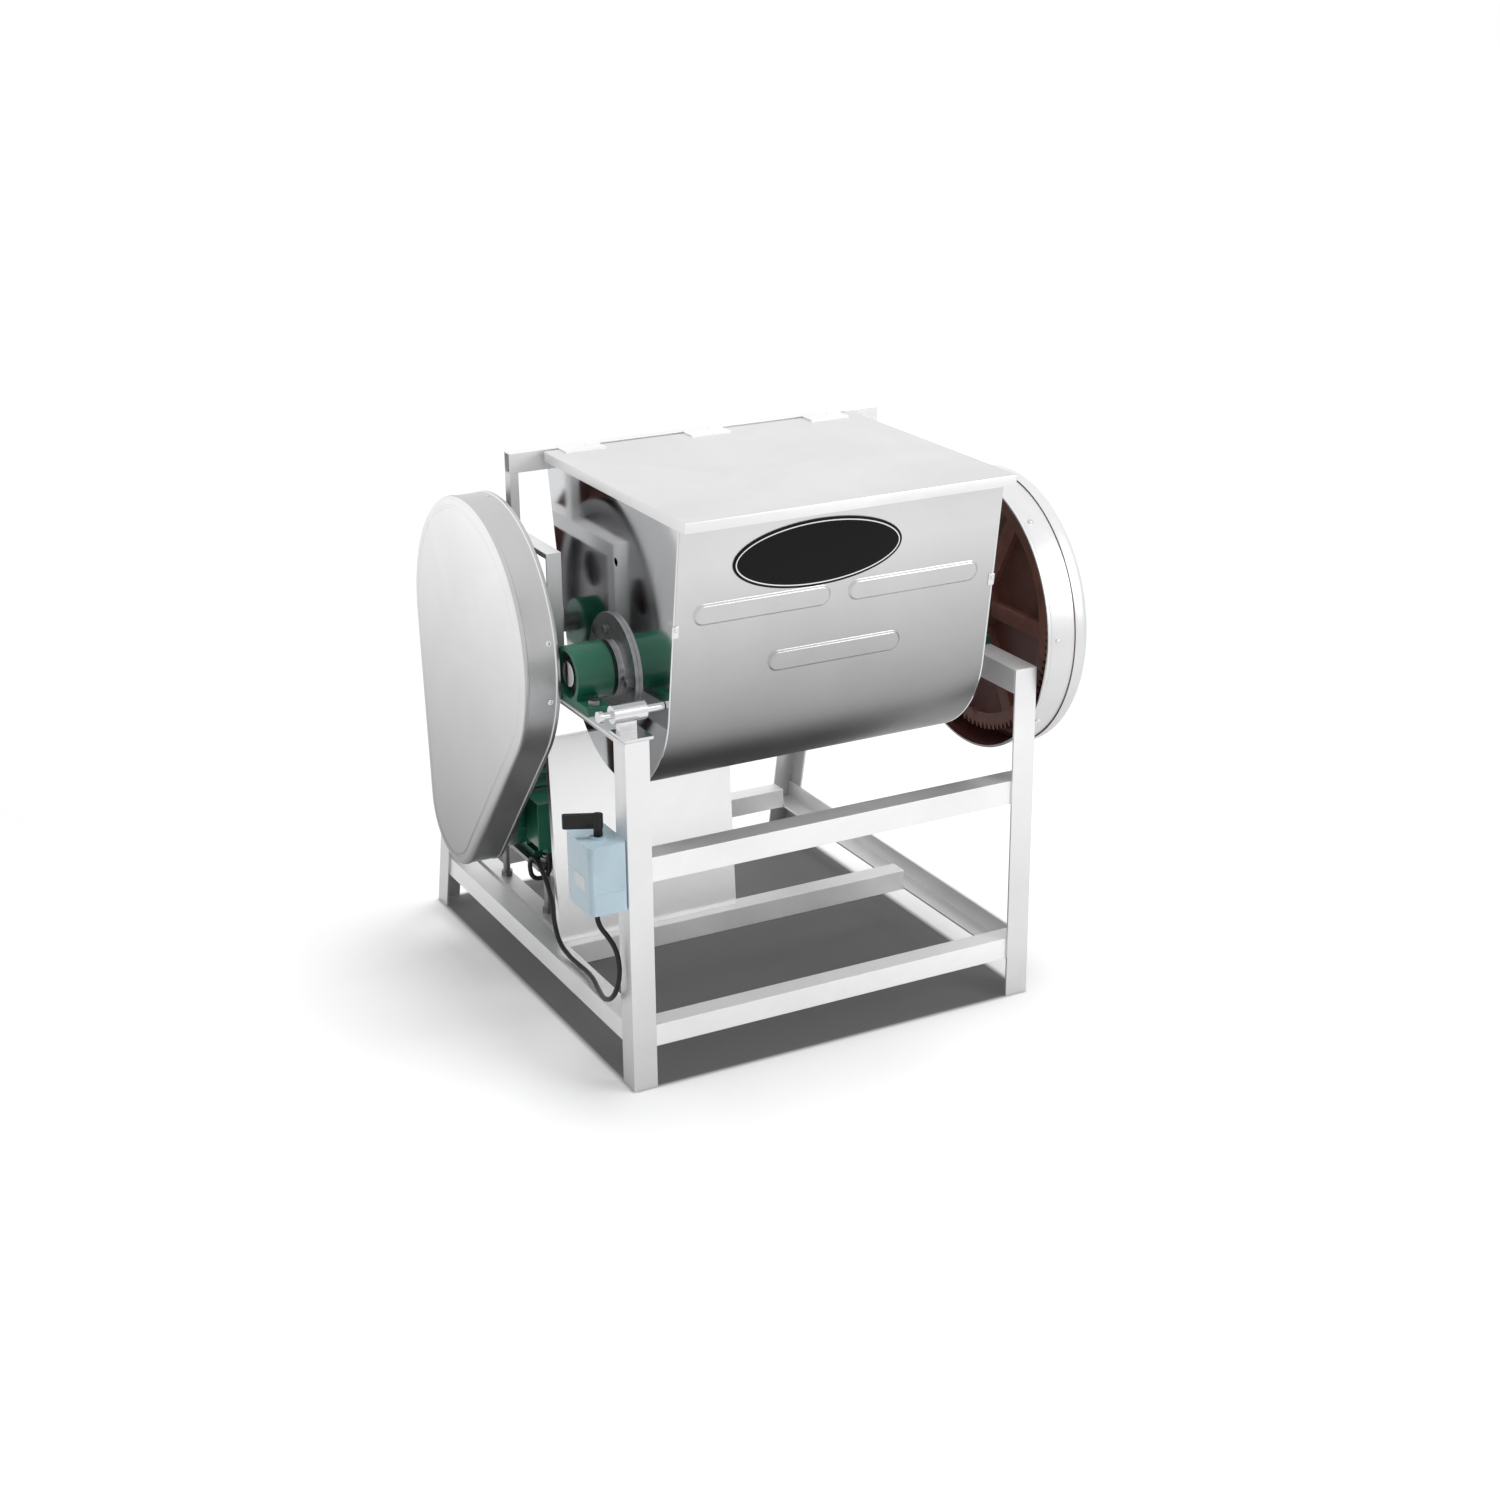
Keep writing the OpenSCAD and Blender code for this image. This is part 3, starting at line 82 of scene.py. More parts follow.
def place_camera():
    forward = Vector((sin(CAMERA_YAW) * cos(CAMERA_PITCH), cos(CAMERA_YAW) * cos(CAMERA_PITCH),
                      -sin(CAMERA_PITCH)))
    level = Vector((cos(CAMERA_YAW), -sin(CAMERA_YAW), 0))
    upright = level.cross(forward)
    right = level * cos(CAMERA_ROLL) + upright * sin(CAMERA_ROLL)
    up = upright * cos(CAMERA_ROLL) - level * sin(CAMERA_ROLL)
    camera = bpy.data.objects.new("camera", bpy.data.cameras.new("camera"))
    camera.data.sensor_width = SENSOR
    camera.data.lens = FOCAL_PIXELS / PHOTO_PIXELS * SENSOR
    camera.data.clip_end = FARTHEST_SEEN
    camera.matrix_world = standing(right, up, -forward, at(*CAMERA_PLACE))
    bpy.context.collection.objects.link(camera)
    bpy.context.scene.camera = camera


# The cable's route: that of the CAD tube, with a wider last loop below the terminal box
CABLE_RADIUS = 4
CABLE_ROUTE = [
    (-31, 48, 292), (-31, 48, 280), (-27, 45, 266), (-19, 38, 252), (-12, 30, 235),
    (-9, 25, 215), (-9, 24, 192), (-12, 28, 168), (-14, 42, 148), (-12, 66, 134),
    (-6, 94, 124), (2, 122, 117), (9, 150, 114), (16, 180, 113), (20, 214, 111),
    (20, 248, 110), (19, 284, 112), (19, 318, 122), (22, 342, 144), (25, 356, 172),
    (25, 374, 200), (23, 396, 222), (23, 420, 230), (24, 438, 219), (26, 446, 197),
    (31, 447, 184), (43, 446, 179), (55, 445, 184), (60, 445, 196), (60, 446, 224),
]


def lay_cable():
    curve = bpy.data.curves.new("power_cable_sheath", "CURVE")
    curve.dimensions = "3D"
    # The cable's thickness comes from the radius of each point
    curve.bevel_depth = 1.0
    curve.bevel_resolution = 4
    curve.resolution_u = 4
    curve.use_fill_caps = True
    spline = curve.splines.new("BEZIER")
    spline.bezier_points.add(len(CABLE_ROUTE) - 1)
    for point, place in zip(spline.bezier_points, CABLE_ROUTE):
        point.co = at(*place)
        point.radius = CABLE_RADIUS * MM
        point.handle_left_type = point.handle_right_type = "AUTO"
    cable = bpy.data.objects.new("power_cable_sheath", curve)
    bpy.context.collection.objects.link(cable)
    bpy.context.view_layer.update()
    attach(cable, "frame")
    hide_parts("power_cable")
    cable.data.materials.append(finish_of("power_cable"))


# Shader groups


def new_group(name, inputs, outputs):
    group = bpy.data.node_groups.new(name, "ShaderNodeTree")
    for label, kind, value in inputs:
        socket = group.interface.new_socket(label, in_out="INPUT", socket_type=kind)
        socket.default_value = value
    for label, kind in outputs:
        group.interface.new_socket(label, in_out="OUTPUT", socket_type=kind)
    entry = group.nodes.new("NodeGroupInput")
    leave = group.nodes.new("NodeGroupOutput")
    return group, entry, leave


def brushed_grain():
    """Fine lines left by a belt or a brush: noise stretched along one direction."""
    group, entry, leave = new_group(
        "brushed_grain",
        [("Stretch", "NodeSocketVector", (1, 1, 1)), ("Fineness", "NodeSocketFloat", 900.0)],
        [("Lines", "NodeSocketFloat")])
    nodes, links = group.nodes, group.links
    coords = nodes.new("ShaderNodeTexCoord")
    stretch = nodes.new("ShaderNodeVectorMath")
    stretch.operation = "MULTIPLY"
    noise = nodes.new("ShaderNodeTexNoise")
    noise.inputs["Detail"].default_value = 3.0
    links.new(coords.outputs["Object"], stretch.inputs[0])
    links.new(entry.outputs["Stretch"], stretch.inputs[1])
    links.new(stretch.outputs[0], noise.inputs["Vector"])
    links.new(entry.outputs["Fineness"], noise.inputs["Scale"])
    links.new(noise.outputs["Fac"], leave.inputs["Lines"])
    return group


def handling_marks():
    """Wide soft clouds with a few smears, where hands and cloths have been."""
    group, entry, leave = new_group(
        "handling_marks", [("Size", "NodeSocketFloat", 5.0)], [("Marks", "NodeSocketFloat")])
    nodes, links = group.nodes, group.links
    coords = nodes.new("ShaderNodeTexCoord")
    cloud = nodes.new("ShaderNodeTexNoise")
    cloud.inputs["Detail"].default_value = 5.0
    cloud.inputs["Roughness"].default_value = 0.6
    cloud.inputs["Distortion"].default_value = 0.8
    spread = nodes.new("ShaderNodeMapRange")
    spread.inputs["From Min"].default_value = 0.32
    spread.inputs["From Max"].default_value = 0.68
    links.new(coords.outputs["Object"], cloud.inputs["Vector"])
    links.new(entry.outputs["Size"], cloud.inputs["Scale"])
    links.new(cloud.outputs["Fac"], spread.inputs["Value"])
    links.new(spread.outputs["Result"], leave.inputs["Marks"])
    return group


def painted_shade_near_floor():
    """Painted shade: a factor that falls from 1 at one height to a lower tone at another, nearer
    the floor, and so darkens a colour there.
    """
    group, entry, leave = new_group(
        "painted_shade_near_floor",
        [("Low Tone", "NodeSocketFloat", 1.0), ("Low Height", "NodeSocketFloat", 0.2),
         ("High Height", "NodeSocketFloat", 0.8)],
        [("Tone", "NodeSocketFloat")])
    nodes, links = group.nodes, group.links
    coords = nodes.new("ShaderNodeTexCoord")
    split = nodes.new("ShaderNodeSeparateXYZ")
    fall = nodes.new("ShaderNodeMapRange")
    links.new(coords.outputs["Object"], split.inputs[0])
    links.new(split.outputs["Z"], fall.inputs["Value"])
    links.new(entry.outputs["Low Height"], fall.inputs["From Min"])
    links.new(entry.outputs["High Height"], fall.inputs["From Max"])
    links.new(entry.outputs["Low Tone"], fall.inputs["To Min"])
    links.new(fall.outputs["Result"], leave.inputs["Tone"])
    return group


GRAIN = brushed_grain()
MARKS = handling_marks()
# Painted shade, darker towards the floor
PAINTED_SHADE = painted_shade_near_floor()
MATERIALS = {}


def start_material(name, colour, metallic, roughness):
    material = bpy.data.materials.new(name)
    material.use_nodes = True
    nodes = material.node_tree.nodes
    shader = nodes["Principled BSDF"]
    shader.inputs["Base Color"].default_value = (*colour, 1)
    shader.inputs["Metallic"].default_value = metallic
    shader.inputs["Roughness"].default_value = roughness
    MATERIALS[name] = material
    return material, nodes, material.node_tree.links, shader


def add_group(nodes, group, **values):
    node = nodes.new("ShaderNodeGroup")
    node.node_tree = group
    for label, value in values.items():
        node.inputs[label].default_value = value
    return node


def combined(nodes, links, operation, first, second):
    node = nodes.new("ShaderNodeMath")
    node.operation = operation
    links.new(first, node.inputs[0])
    links.new(second, node.inputs[1])
    return node.outputs[0]


def ranged(nodes, links, source, low, high):
    """Turns a mask from 0 to 1 into a value from low to high."""
    node = nodes.new("ShaderNodeMapRange")
    node.inputs["To Min"].default_value = low
    node.inputs["To Max"].default_value = high
    links.new(source, node.inputs["Value"])
    return node.outputs["Result"]


def tinted(nodes, links, mask, dark, light):
    node = nodes.new("ShaderNodeMix")
    node.data_type = "RGBA"
    node.inputs["A"].default_value = (*dark, 1)
    node.inputs["B"].default_value = (*light, 1)
    links.new(mask, node.inputs["Factor"])
    return node.outputs["Result"]


def bumped(nodes, links, shader, height, strength, distance):
    node = nodes.new("ShaderNodeBump")
    node.inputs["Strength"].default_value = strength
    node.inputs["Distance"].default_value = distance * MM
    links.new(height, node.inputs["Height"])
    links.new(node.outputs["Normal"], shader.inputs["Normal"])


def marked(nodes, links, shader, size, low, high):
    """Lets handling marks vary the roughness between two values, and returns their mask."""
    marks = add_group(nodes, MARKS, Size=size).outputs["Marks"]
    links.new(ranged(nodes, links, marks, low, high), shader.inputs["Roughness"])
    return marks


def toned(colour, factor):
    return [min(1.0, c * factor) for c in colour]


# How far the grain and the marks shift the roughness and the tone of brushed sheet
GRAIN_SHIFT = 0.06
GRAIN_DEPTH = 0.05
MARKS_SHIFT = 0.035
MARKS_SIZE = 4.0
DARK_TONE = 0.94
LIGHT_TONE = 1.04


def brushed_steel(name, colour, roughness, stretch, grain=0.06, painted_shade_tone=1.0,
                  heights=(0.18, 0.86), metallic=1.0):
    """Stainless sheet with its grain along one axis and faint handling marks, its colour darkened
    towards the floor as painted shade."""
    if name in MATERIALS:
        return MATERIALS[name]
    material, nodes, links, shader = start_material(name, colour, metallic, roughness)
    lines = add_group(nodes, GRAIN, Stretch=stretch).outputs["Lines"]
    marks = add_group(nodes, MARKS, Size=MARKS_SIZE).outputs["Marks"]
    by_grain = ranged(nodes, links, lines, roughness - GRAIN_SHIFT, roughness + GRAIN_SHIFT)
    by_marks = ranged(nodes, links, marks, -MARKS_SHIFT, MARKS_SHIFT)
    links.new(combined(nodes, links, "ADD", by_grain, by_marks), shader.inputs["Roughness"])
    tone = nodes.new("ShaderNodeVectorMath")
    tone.operation = "SCALE"
    clouded = tinted(nodes, links, marks, toned(colour, DARK_TONE), toned(colour, LIGHT_TONE))
    links.new(clouded, tone.inputs[0])
    # Painted shade: the colour is scaled down towards the floor
    painted_shade_fall = {"Low Tone": painted_shade_tone, "Low Height": heights[0], "High Height": heights[1]}
    links.new(add_group(nodes, PAINTED_SHADE, **painted_shade_fall).outputs["Tone"], tone.inputs["Scale"])
    links.new(tone.outputs[0], shader.inputs["Base Color"])
    bumped(nodes, links, shader, lines, strength=grain, distance=GRAIN_DEPTH)
    return material


def polished_steel(name, colour, roughness):
    """Bright polished steel with the faintest wipe marks."""
    if name in MATERIALS:
        return MATERIALS[name]
    material, nodes, links, shader = start_material(name, colour, 1.0, roughness)
    marked(nodes, links, shader, size=7.0, low=roughness * 0.6, high=roughness * 1.5)
    return material


def machined_steel(name, colour, roughness):
    """Turned or sawn steel under a film of oil."""
    if name in MATERIALS:
        return MATERIALS[name]
    material, nodes, links, shader = start_material(name, colour, 1.0, roughness)
    marks = marked(nodes, links, shader, size=38.0, low=roughness - 0.08, high=roughness + 0.1)
    links.new(tinted(nodes, links, marks, toned(colour, 0.72), colour), shader.inputs["Base Color"])
    return material


def paint(name, colour, roughness, shade=0.8, peel=0.08, size=60.0, coat=0.25):
    """Sprayed paint with a slight orange peel and uneven depth of colour."""
    if name in MATERIALS:
        return MATERIALS[name]
    material, nodes, links, shader = start_material(name, colour, 0.0, roughness)
    shader.inputs["Coat Weight"].default_value = coat
    shader.inputs["Coat Roughness"].default_value = 0.12
    marks = marked(nodes, links, shader, size=size * 0.2, low=roughness - 0.05,
                   high=roughness + 0.07)
    skin = add_group(nodes, MARKS, Size=size * 4).outputs["Marks"]
    links.new(tinted(nodes, links, marks, toned(colour, shade), colour),
              shader.inputs["Base Color"])
    bumped(nodes, links, shader, skin, strength=peel, distance=0.3)
    return material


def rubber(name, colour, roughness):
    """Extruded or moulded rubber and plastic with a fine matt skin."""
    if name in MATERIALS:
        return MATERIALS[name]
    material, nodes, links, shader = start_material(name, colour, 0.0, roughness)
    shader.inputs["Specular IOR Level"].default_value = 0.28
    skin = add_group(nodes, MARKS, Size=420.0).outputs["Marks"]
    marks = marked(nodes, links, shader, size=16.0, low=roughness - 0.06, high=roughness + 0.08)
    links.new(tinted(nodes, links, marks, colour, toned(colour, 1.35)), shader.inputs["Base Color"])
    bumped(nodes, links, shader, skin, strength=0.06, distance=0.2)
    return material


# Which way the grain runs
ALONG_X = (0.02, 1, 1)
ALONG_Y = (1, 0.02, 1)
ALONG_Z = (1, 1, 0.02)
DEPTH_AXIS = 1
STAND_COLOUR = (0.86, 0.86, 0.865)
STAND_METALLIC = 0.55
FITTINGS = ("main_shaft", "stirring_bars", "stirring_arms", "latch", "latch_plunger")


def longest_axis(node):
    low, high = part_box(node)
    size = high - low
    return max(range(3), key=lambda axis: size[axis])


def finish_of(node):
    """The finish that each CAD node wears."""
    slot = SLOT_OF[node]
    if node == "hub_flanges":
        return machined_steel("satin_hub", (0.42, 0.42, 0.43), 0.34)
    if slot == "polished":
        return polished_steel("bright_end_sheet", (0.62, 0.63, 0.64), 0.09)
    if node == "splash_panel":
        return brushed_steel("panel_sheet", (0.84, 0.84, 0.845), 0.36, ALONG_Z)
    if slot == "cover_sheet":
        # The covers' colour darkens towards the floor: painted shade
        return brushed_steel("pale_cover_sheet", (0.92, 0.92, 0.925), 0.36, ALONG_Z, painted_shade_tone=0.28)
    if slot == "green_paint":
        return paint("green_machine_paint", (0.014, 0.160, 0.092), 0.34)
    if slot == "gear_iron":
        return paint("brown_gear_primer", (0.19, 0.072, 0.055), 0.55,
                     shade=0.6, peel=0.2, size=90.0, coat=0.0)
    if slot == "dark_steel":
        return machined_steel("plain_machined_steel", (0.30, 0.30, 0.31), 0.38)
    if slot == "bronze":
        return machined_steel("bush_bronze", (0.55, 0.33, 0.13), 0.3)
    if slot == "seal":
        return rubber("white_seal", (0.72, 0.71, 0.68), 0.45)
    if slot == "belt":
        return rubber("belt_rubber", (0.015, 0.015, 0.016), 0.62)
    if slot == "pale_blue":
        return paint("pale_blue_enamel", (0.55, 0.71, 0.80), 0.3, shade=0.9, peel=0.05)
    if slot == "black_plastic":
        return rubber("black_moulding", (0.008, 0.008, 0.009), 0.3)
    if slot == "cable":
        return rubber("cable_rubber", (0.008, 0.008, 0.009), 0.42)
    if node == "lid":
        return brushed_steel("lid_sheet", (0.79, 0.79, 0.79), 0.40, ALONG_X, grain=0.1)
    if node == "bowl_wrapper":
        # The bowl sheet darkens from 0.82 m down to 0.46 m above the floor: painted shade
        return brushed_steel("bowl_sheet", (0.65, 0.65, 0.65), 0.38, ALONG_X, grain=0.1,
                             painted_shade_tone=0.22, heights=(0.46, 0.82))
    if node in FITTINGS:
        return polished_steel("polished_fitting", (0.68, 0.68, 0.69), 0.16)
    if node.endswith("_leg"):
        # The legs darken towards their feet: painted shade
        return brushed_steel("stand_steel_upright", STAND_COLOUR, 0.4, ALONG_Z, painted_shade_tone=0.75,
                             heights=(0, 0.5), metallic=STAND_METALLIC)
    if longest_axis(node) == DEPTH_AXIS:
        return brushed_steel("stand_steel_depth", STAND_COLOUR, 0.44, ALONG_Y,
                             metallic=STAND_METALLIC)
    return brushed_steel("stand_steel_across", (0.88, 0.88, 0.885), 0.46, ALONG_X,
                         metallic=STAND_METALLIC)


# Making pieces

VERT = bmesh.types.BMVert
EDGE = bmesh.types.BMEdge
FACE = bmesh.types.BMFace
BEVEL_SEGMENTS = 2
BEVEL_FROM = radians(35)
SAME_PLACE = 0.002
JOIN_WITHIN = 0.01
FLAT_ENOUGH = radians(0.5)


def only(kind, parts):
    return [part for part in parts if isinstance(part, kind)]


def add_piece(name, bm, body, materials, smooth=40):
    """Turns a bmesh into a piece on a body, with its faces smooth up to an angle."""
    mesh = bpy.data.meshes.new(name)
    bm.to_mesh(mesh)
    bm.free()
    mesh.shade_smooth()
    mesh.set_sharp_from_angle(angle=radians(smooth))
    piece = bpy.data.objects.new(name, mesh)
    bpy.context.collection.objects.link(piece)
    for material in materials:
        mesh.materials.append(material)
    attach(piece, body)
    return piece


def round_edges(piece, width):
    bevel = piece.modifiers.new("rounded_edges", "BEVEL")
    bevel.width = width * MM
    bevel.segments = BEVEL_SEGMENTS
    bevel.limit_method = "ANGLE"
    bevel.angle_limit = BEVEL_FROM
    bevel.harden_normals = True
    bevel.use_clamp_overlap = True


def soften(node, width):
    """Replaces a CAD node by a copy with its points joined and its sharp edges rounded."""
    bm = bmesh.new()
    bm.from_mesh(frame["nodes"][node].data)
    bmesh.ops.remove_doubles(bm, verts=bm.verts, dist=SAME_PLACE * MM)
    bmesh.ops.dissolve_limit(bm, angle_limit=FLAT_ENOUGH, verts=bm.verts, edges=bm.edges)
    piece = add_piece(node + "_worn", bm, BODY_OF[node], [finish_of(node)])
    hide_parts(node)
    if width:
        round_edges(piece, width)


# Radii in millimetres
EDGE_RADII = {
    "front_left_leg": 0.8, "front_right_leg": 0.8, "rear_left_leg": 0.8, "rear_right_leg": 0.8,
    "left_deck_rail": 0.8, "right_deck_rail": 0.8, "rear_deck_rail": 0.8, "front_middle_rail": 0.8,
    "front_low_rail": 0.8, "left_low_rail": 0.8, "right_low_rail": 0.8, "low_cross_rails": 0.8,
    "side_frames": 0.6, "rear_posts": 0.5, "back_rail": 1.0, "splash_panel": 0.4,
    "motor_bearers": 0.6, "motor_plate": 0.6, "tension_studs": 0.4,
    "bowl_left_end": 0.5, "bowl_right_end": 0.5, "hub_flanges": 1.6, "hub_bolts": 0.5,
    "bowl_bushes": 0.3, "shaft_seals": 0.8, "lid_hinge_leaves": 0.3, "bowl_hinge_leaves": 0.3,
    "hinge_pins": 0.4, "main_shaft": 1.0, "stirring_bars": 0, "stirring_arms": 1.0, "main_gear": 0,
    "gear_washer": 0.8, "left_main_housing": 2.0, "right_main_housing": 2.0, "main_bearings": 0.3,
    "housing_bolts": 0.6, "countershaft": 1.0, "counter_housings": 2.0, "counter_bearings": 0.3,
    "large_pulley": 0.6, "pinion": 0, "belts": 0.8, "cover_tabs": 0.4, "motor_body": 0,
    "fan_cowl": 1.5, "motor_fan": 0, "motor_shaft": 0.6, "motor_pulley": 0.5, "terminal_box": 1.2,
    "switch_box": 1.2, "switch_handle": 1.6, "latch": 0.8, "latch_plunger": 0.8,
}


# The sheet covers: axes and centres are (y, z), measures are in millimetres
SHEET = 2.0
MAIN_AXIS = (208.0, 616.0)
COUNTER_AXIS = (448.0, 616.0)
MOTOR_AXIS = (558.0, 287.0)
GEAR_COVER_CENTRE = (208.0, 607.0)
RED_BROWN = (0.26, 0.090, 0.080)
# A groove pressed into the flat face, and where it starts from the rim
GROOVE_DEPTH = 1.6
BELT_GROOVE = 12.5
GEAR_GROOVE = 23.5
# The steps of the rim: a band beside the face, a lip at the open edge, a slope to each
BAND_WIDTH = 11
BAND_RISE = 1.0
LIP_WIDTH = 6
BELT_LIP_RISE = 1.6
DRUM_LIP_RISE = 1.8
SLOPE = 1
# The bend between face and rim, on its outer side
BELT_BEND = 8.5
GEAR_BEND = 15.5
# A place inside each cover, and how far short of the sheet's inner face the lining begins
BELT_HEART = (480, 500)
GEAR_HEART = (300, 616)
LINING_MARGIN = 0.2


def liner():
    return paint("red_brown_lining", RED_BROWN, 0.42, shade=0.7, peel=0.1, size=40.0, coat=0.1)


def pressed_groove(face, inward, start):
    """The groove's section from its inner edge to its outer one, as x and distance from the rim."""
    floor = face + inward * GROOVE_DEPTH
    return [(face, start + 6.5), (floor, start + 4.5), (floor, start + 2), (face, start)]


def draw_section(bm, places, rounding):
    """A chain of edges through places, its corners rounded by the radii given for them."""
    chain = [bm.verts.new(place) for place in places]
    for start, end in zip(chain, chain[1:]):
        bm.edges.new((start, end))
    for index, radius, segments in rounding:
        bmesh.ops.bevel(bm, geom=[chain[index]], offset=radius, segments=segments, profile=0.5,
                        affect="VERTICES", material=-1)
    return bm.verts[:] + bm.edges[:]


def run_round(bm, section, large, small, distance, steps):
    """Runs a section round two circles and along their outer tangents. The large one is at the
    origin and the small one further along Y; the section starts where the upper tangent leaves
    the large one."""
    bend = acos((large - small) / distance)
    to_small = Vector((0, distance, 0)) + (small - large) * Vector((0, cos(bend), -sin(bend)))
    to_large = Vector((0, -distance, 0)) + (large - small) * Vector((0, cos(bend), sin(bend)))
    for centre, sweep, share, onward in (
            (0, 2 * pi - 2 * bend, 0.62, to_small), (distance, 2 * bend, 0.38, to_large)):
        turned = bmesh.ops.spin(bm, geom=section, cent=(0, centre, 0), axis=(1, 0, 0), angle=sweep,
                                steps=int(steps * share))["geom_last"]
        drawn = bmesh.ops.extrude_edge_only(bm, edges=only(EDGE, turned))["geom"]
        section = only((VERT, EDGE), drawn)
        bmesh.ops.translate(bm, vec=onward, verts=only(VERT, section))
    bmesh.ops.remove_doubles(bm, verts=bm.verts, dist=JOIN_WITHIN * MM)


def pear_skin(section, rounding, large, small, centres, steps=120):
    """A pressed sheet with a pear-shaped outline. The section lists x and how far in it lies, the
    rounding the number of a place in the section, its radius and its segments."""
    bm = bmesh.new()
    near, far = Vector((0, *centres[0])), Vector((0, *centres[1]))
    distance = (far - near).length
    bend = acos((large - small) / distance)
    reach = [(large - inset) * MM for _, inset in section]
    places = [Vector((x * MM, r * cos(bend), r * sin(bend))) for (x, _), r in zip(section, reach)]
    chain = draw_section(bm, places, [(i, r * MM, n) for i, r, n in rounding])
    run_round(bm, chain, large * MM, small * MM, distance * MM, steps)
    bmesh.ops.holes_fill(bm, edges=[e for e in bm.edges if e.is_boundary], sides=0)
    bmesh.ops.recalc_face_normals(bm, faces=bm.faces)
    turn = atan2(far.z - near.z, far.y - near.y)
    bmesh.ops.transform(bm, verts=bm.verts, matrix=Matrix.Translation(CORNER + near * MM)
                        @ Matrix.Rotation(turn, 4, "X"))
    return bm


def line_inside(bm, heart, plate):
    """Gives the lining to the faces that look at a cover's heart and lie beyond its plate, on the
    heart's side."""
    inward = 1 if heart[0] > plate else -1
    for face in bm.faces:
        centre = face.calc_center_median()
        beyond = inward * (centre.x - at(plate, 0, 0).x)
        if beyond > 0 and face.normal.dot(at(*heart) - centre) > 0:
            face.material_index = 1


def make_belt_cover():
    """The pressed cover over both pulleys, with its rim in a finish of its own."""
    low, high = stand_box("belt_cover")
    large, small = high.z - COUNTER_AXIS[1], MOTOR_AXIS[1] - low.z
    x0, x1 = low.x, high.x
    plate = small / 2
    section = [
        (x0, plate), *pressed_groove(x0, 1, BELT_GROOVE),
        (x0, -BAND_RISE), (x0 + BAND_WIDTH, -BAND_RISE), (x0 + BAND_WIDTH + SLOPE, 0),
        (x1 - LIP_WIDTH - SLOPE, 0), (x1 - LIP_WIDTH, -BELT_LIP_RISE), (x1, -BELT_LIP_RISE),
        (x1, SHEET), (x0 + SHEET, SHEET), (x0 + SHEET, plate)]
    rounding = [(5, BELT_BEND, 6), (12, BELT_BEND - SHEET, 6), (8, 1.2, 2), (9, 1.2, 2),
                (10, 1.4, 3), (11, 0.5, 2)]
    bm = pear_skin(section, rounding, large, small, (COUNTER_AXIS, MOTOR_AXIS))
    line_inside(bm, ((x0 + x1) / 2, *BELT_HEART), x0 + SHEET - LINING_MARGIN)
    for face in bm.faces:
        if face.material_index == 0 and abs(face.normal.x) < 0.5:
            face.material_index = 2
    # The rim's colour darkens towards the floor: painted shade
    rim = brushed_steel("cover_rim_sheet", (0.60, 0.60, 0.605), 0.32, ALONG_X, painted_shade_tone=0.38)
    cover = add_piece("belt_cover_sheet", bm, "frame",
                      [finish_of("belt_cover"), liner(), rim], smooth=30)
    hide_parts("belt_cover")


def make_gear_cover():
    """The drum round the toothed wheel, and the lid that closes it on the outer side."""
    band_low, band_high = stand_box("gear_cover_band")
    cap_low, cap_high = stand_box("gear_cover_cap")
    large, small = band_high.z - GEAR_COVER_CENTRE[1], band_high.y - COUNTER_AXIS[0]
    centres = (GEAR_COVER_CENTRE, COUNTER_AXIS)
    finishes = [finish_of("belt_cover"), liner()]
    b0, b1 = band_low.x, band_high.x
    section = [
        (b1, SHEET), (b1, 0), (b0 + LIP_WIDTH + SLOPE, 0), (b0 + LIP_WIDTH, -DRUM_LIP_RISE),
        (b0, -DRUM_LIP_RISE), (b0, SHEET), (b1, SHEET)]
    bm = pear_skin(section, [(2, 1.2, 2), (3, 1.2, 2), (4, 1.6, 3)], large, small, centres)
    line_inside(bm, (b1, *GEAR_HEART), b0 - 1)
    drum = add_piece("gear_cover_drum", bm, "frame", finishes, smooth=30)
    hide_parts("gear_cover_band")
    c0, c1 = cap_low.x, cap_high.x
    lip = cap_high.z - band_high.z
    plate = small / 2
    section = [
        (c1, plate), *pressed_groove(c1, -1, GEAR_GROOVE), (c1, -lip), (c0, -lip),
        (c0, SHEET - lip), (c1 - SHEET, SHEET - lip), (c1 - SHEET, plate)]
    rounding = [(5, GEAR_BEND, 8), (8, GEAR_BEND - SHEET, 8), (6, 0.7, 2), (7, 0.7, 2)]
    bm = pear_skin(section, rounding, large, small, centres)
    line_inside(bm, (c0 - 20, *GEAR_HEART), c1 - SHEET + LINING_MARGIN)
    lid = add_piece("gear_cover_lid", bm, "frame", finishes, smooth=30)
    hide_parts("gear_cover_cap")


LID_SHEET = 1.5
LID_BEND = 2.0


def make_lid():
    """One folded sheet with a bent front and sides, open at the hinges."""
    low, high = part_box("lid")
    bm = bmesh.new()
    bmesh.ops.create_cube(bm, size=1, matrix=Matrix.Translation((low + high) / 2)
                          @ Matrix.Diagonal((*(high - low), 1)))
    open_faces = [f for f in bm.faces if f.normal.z < -0.5 or f.normal.y > 0.5]
    bmesh.ops.delete(bm, geom=open_faces, context="FACES")
    bends = [e for e in bm.edges if len(e.link_faces) == 2]
    bmesh.ops.bevel(bm, geom=bends, offset=LID_BEND * MM, segments=4, profile=0.5,
                    affect="EDGES", material=-1)
    bmesh.ops.recalc_face_normals(bm, faces=bm.faces)
    highest = max(bm.faces, key=lambda f: f.calc_center_median().z)
    if highest.normal.z < 0:
        bmesh.ops.reverse_faces(bm, faces=bm.faces)
    bmesh.ops.solidify(bm, geom=bm.faces[:], thickness=LID_SHEET * MM)
    lid = add_piece("lid_sheet_folded", bm, "lid", [finish_of("lid")], smooth=50)
    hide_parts("lid")


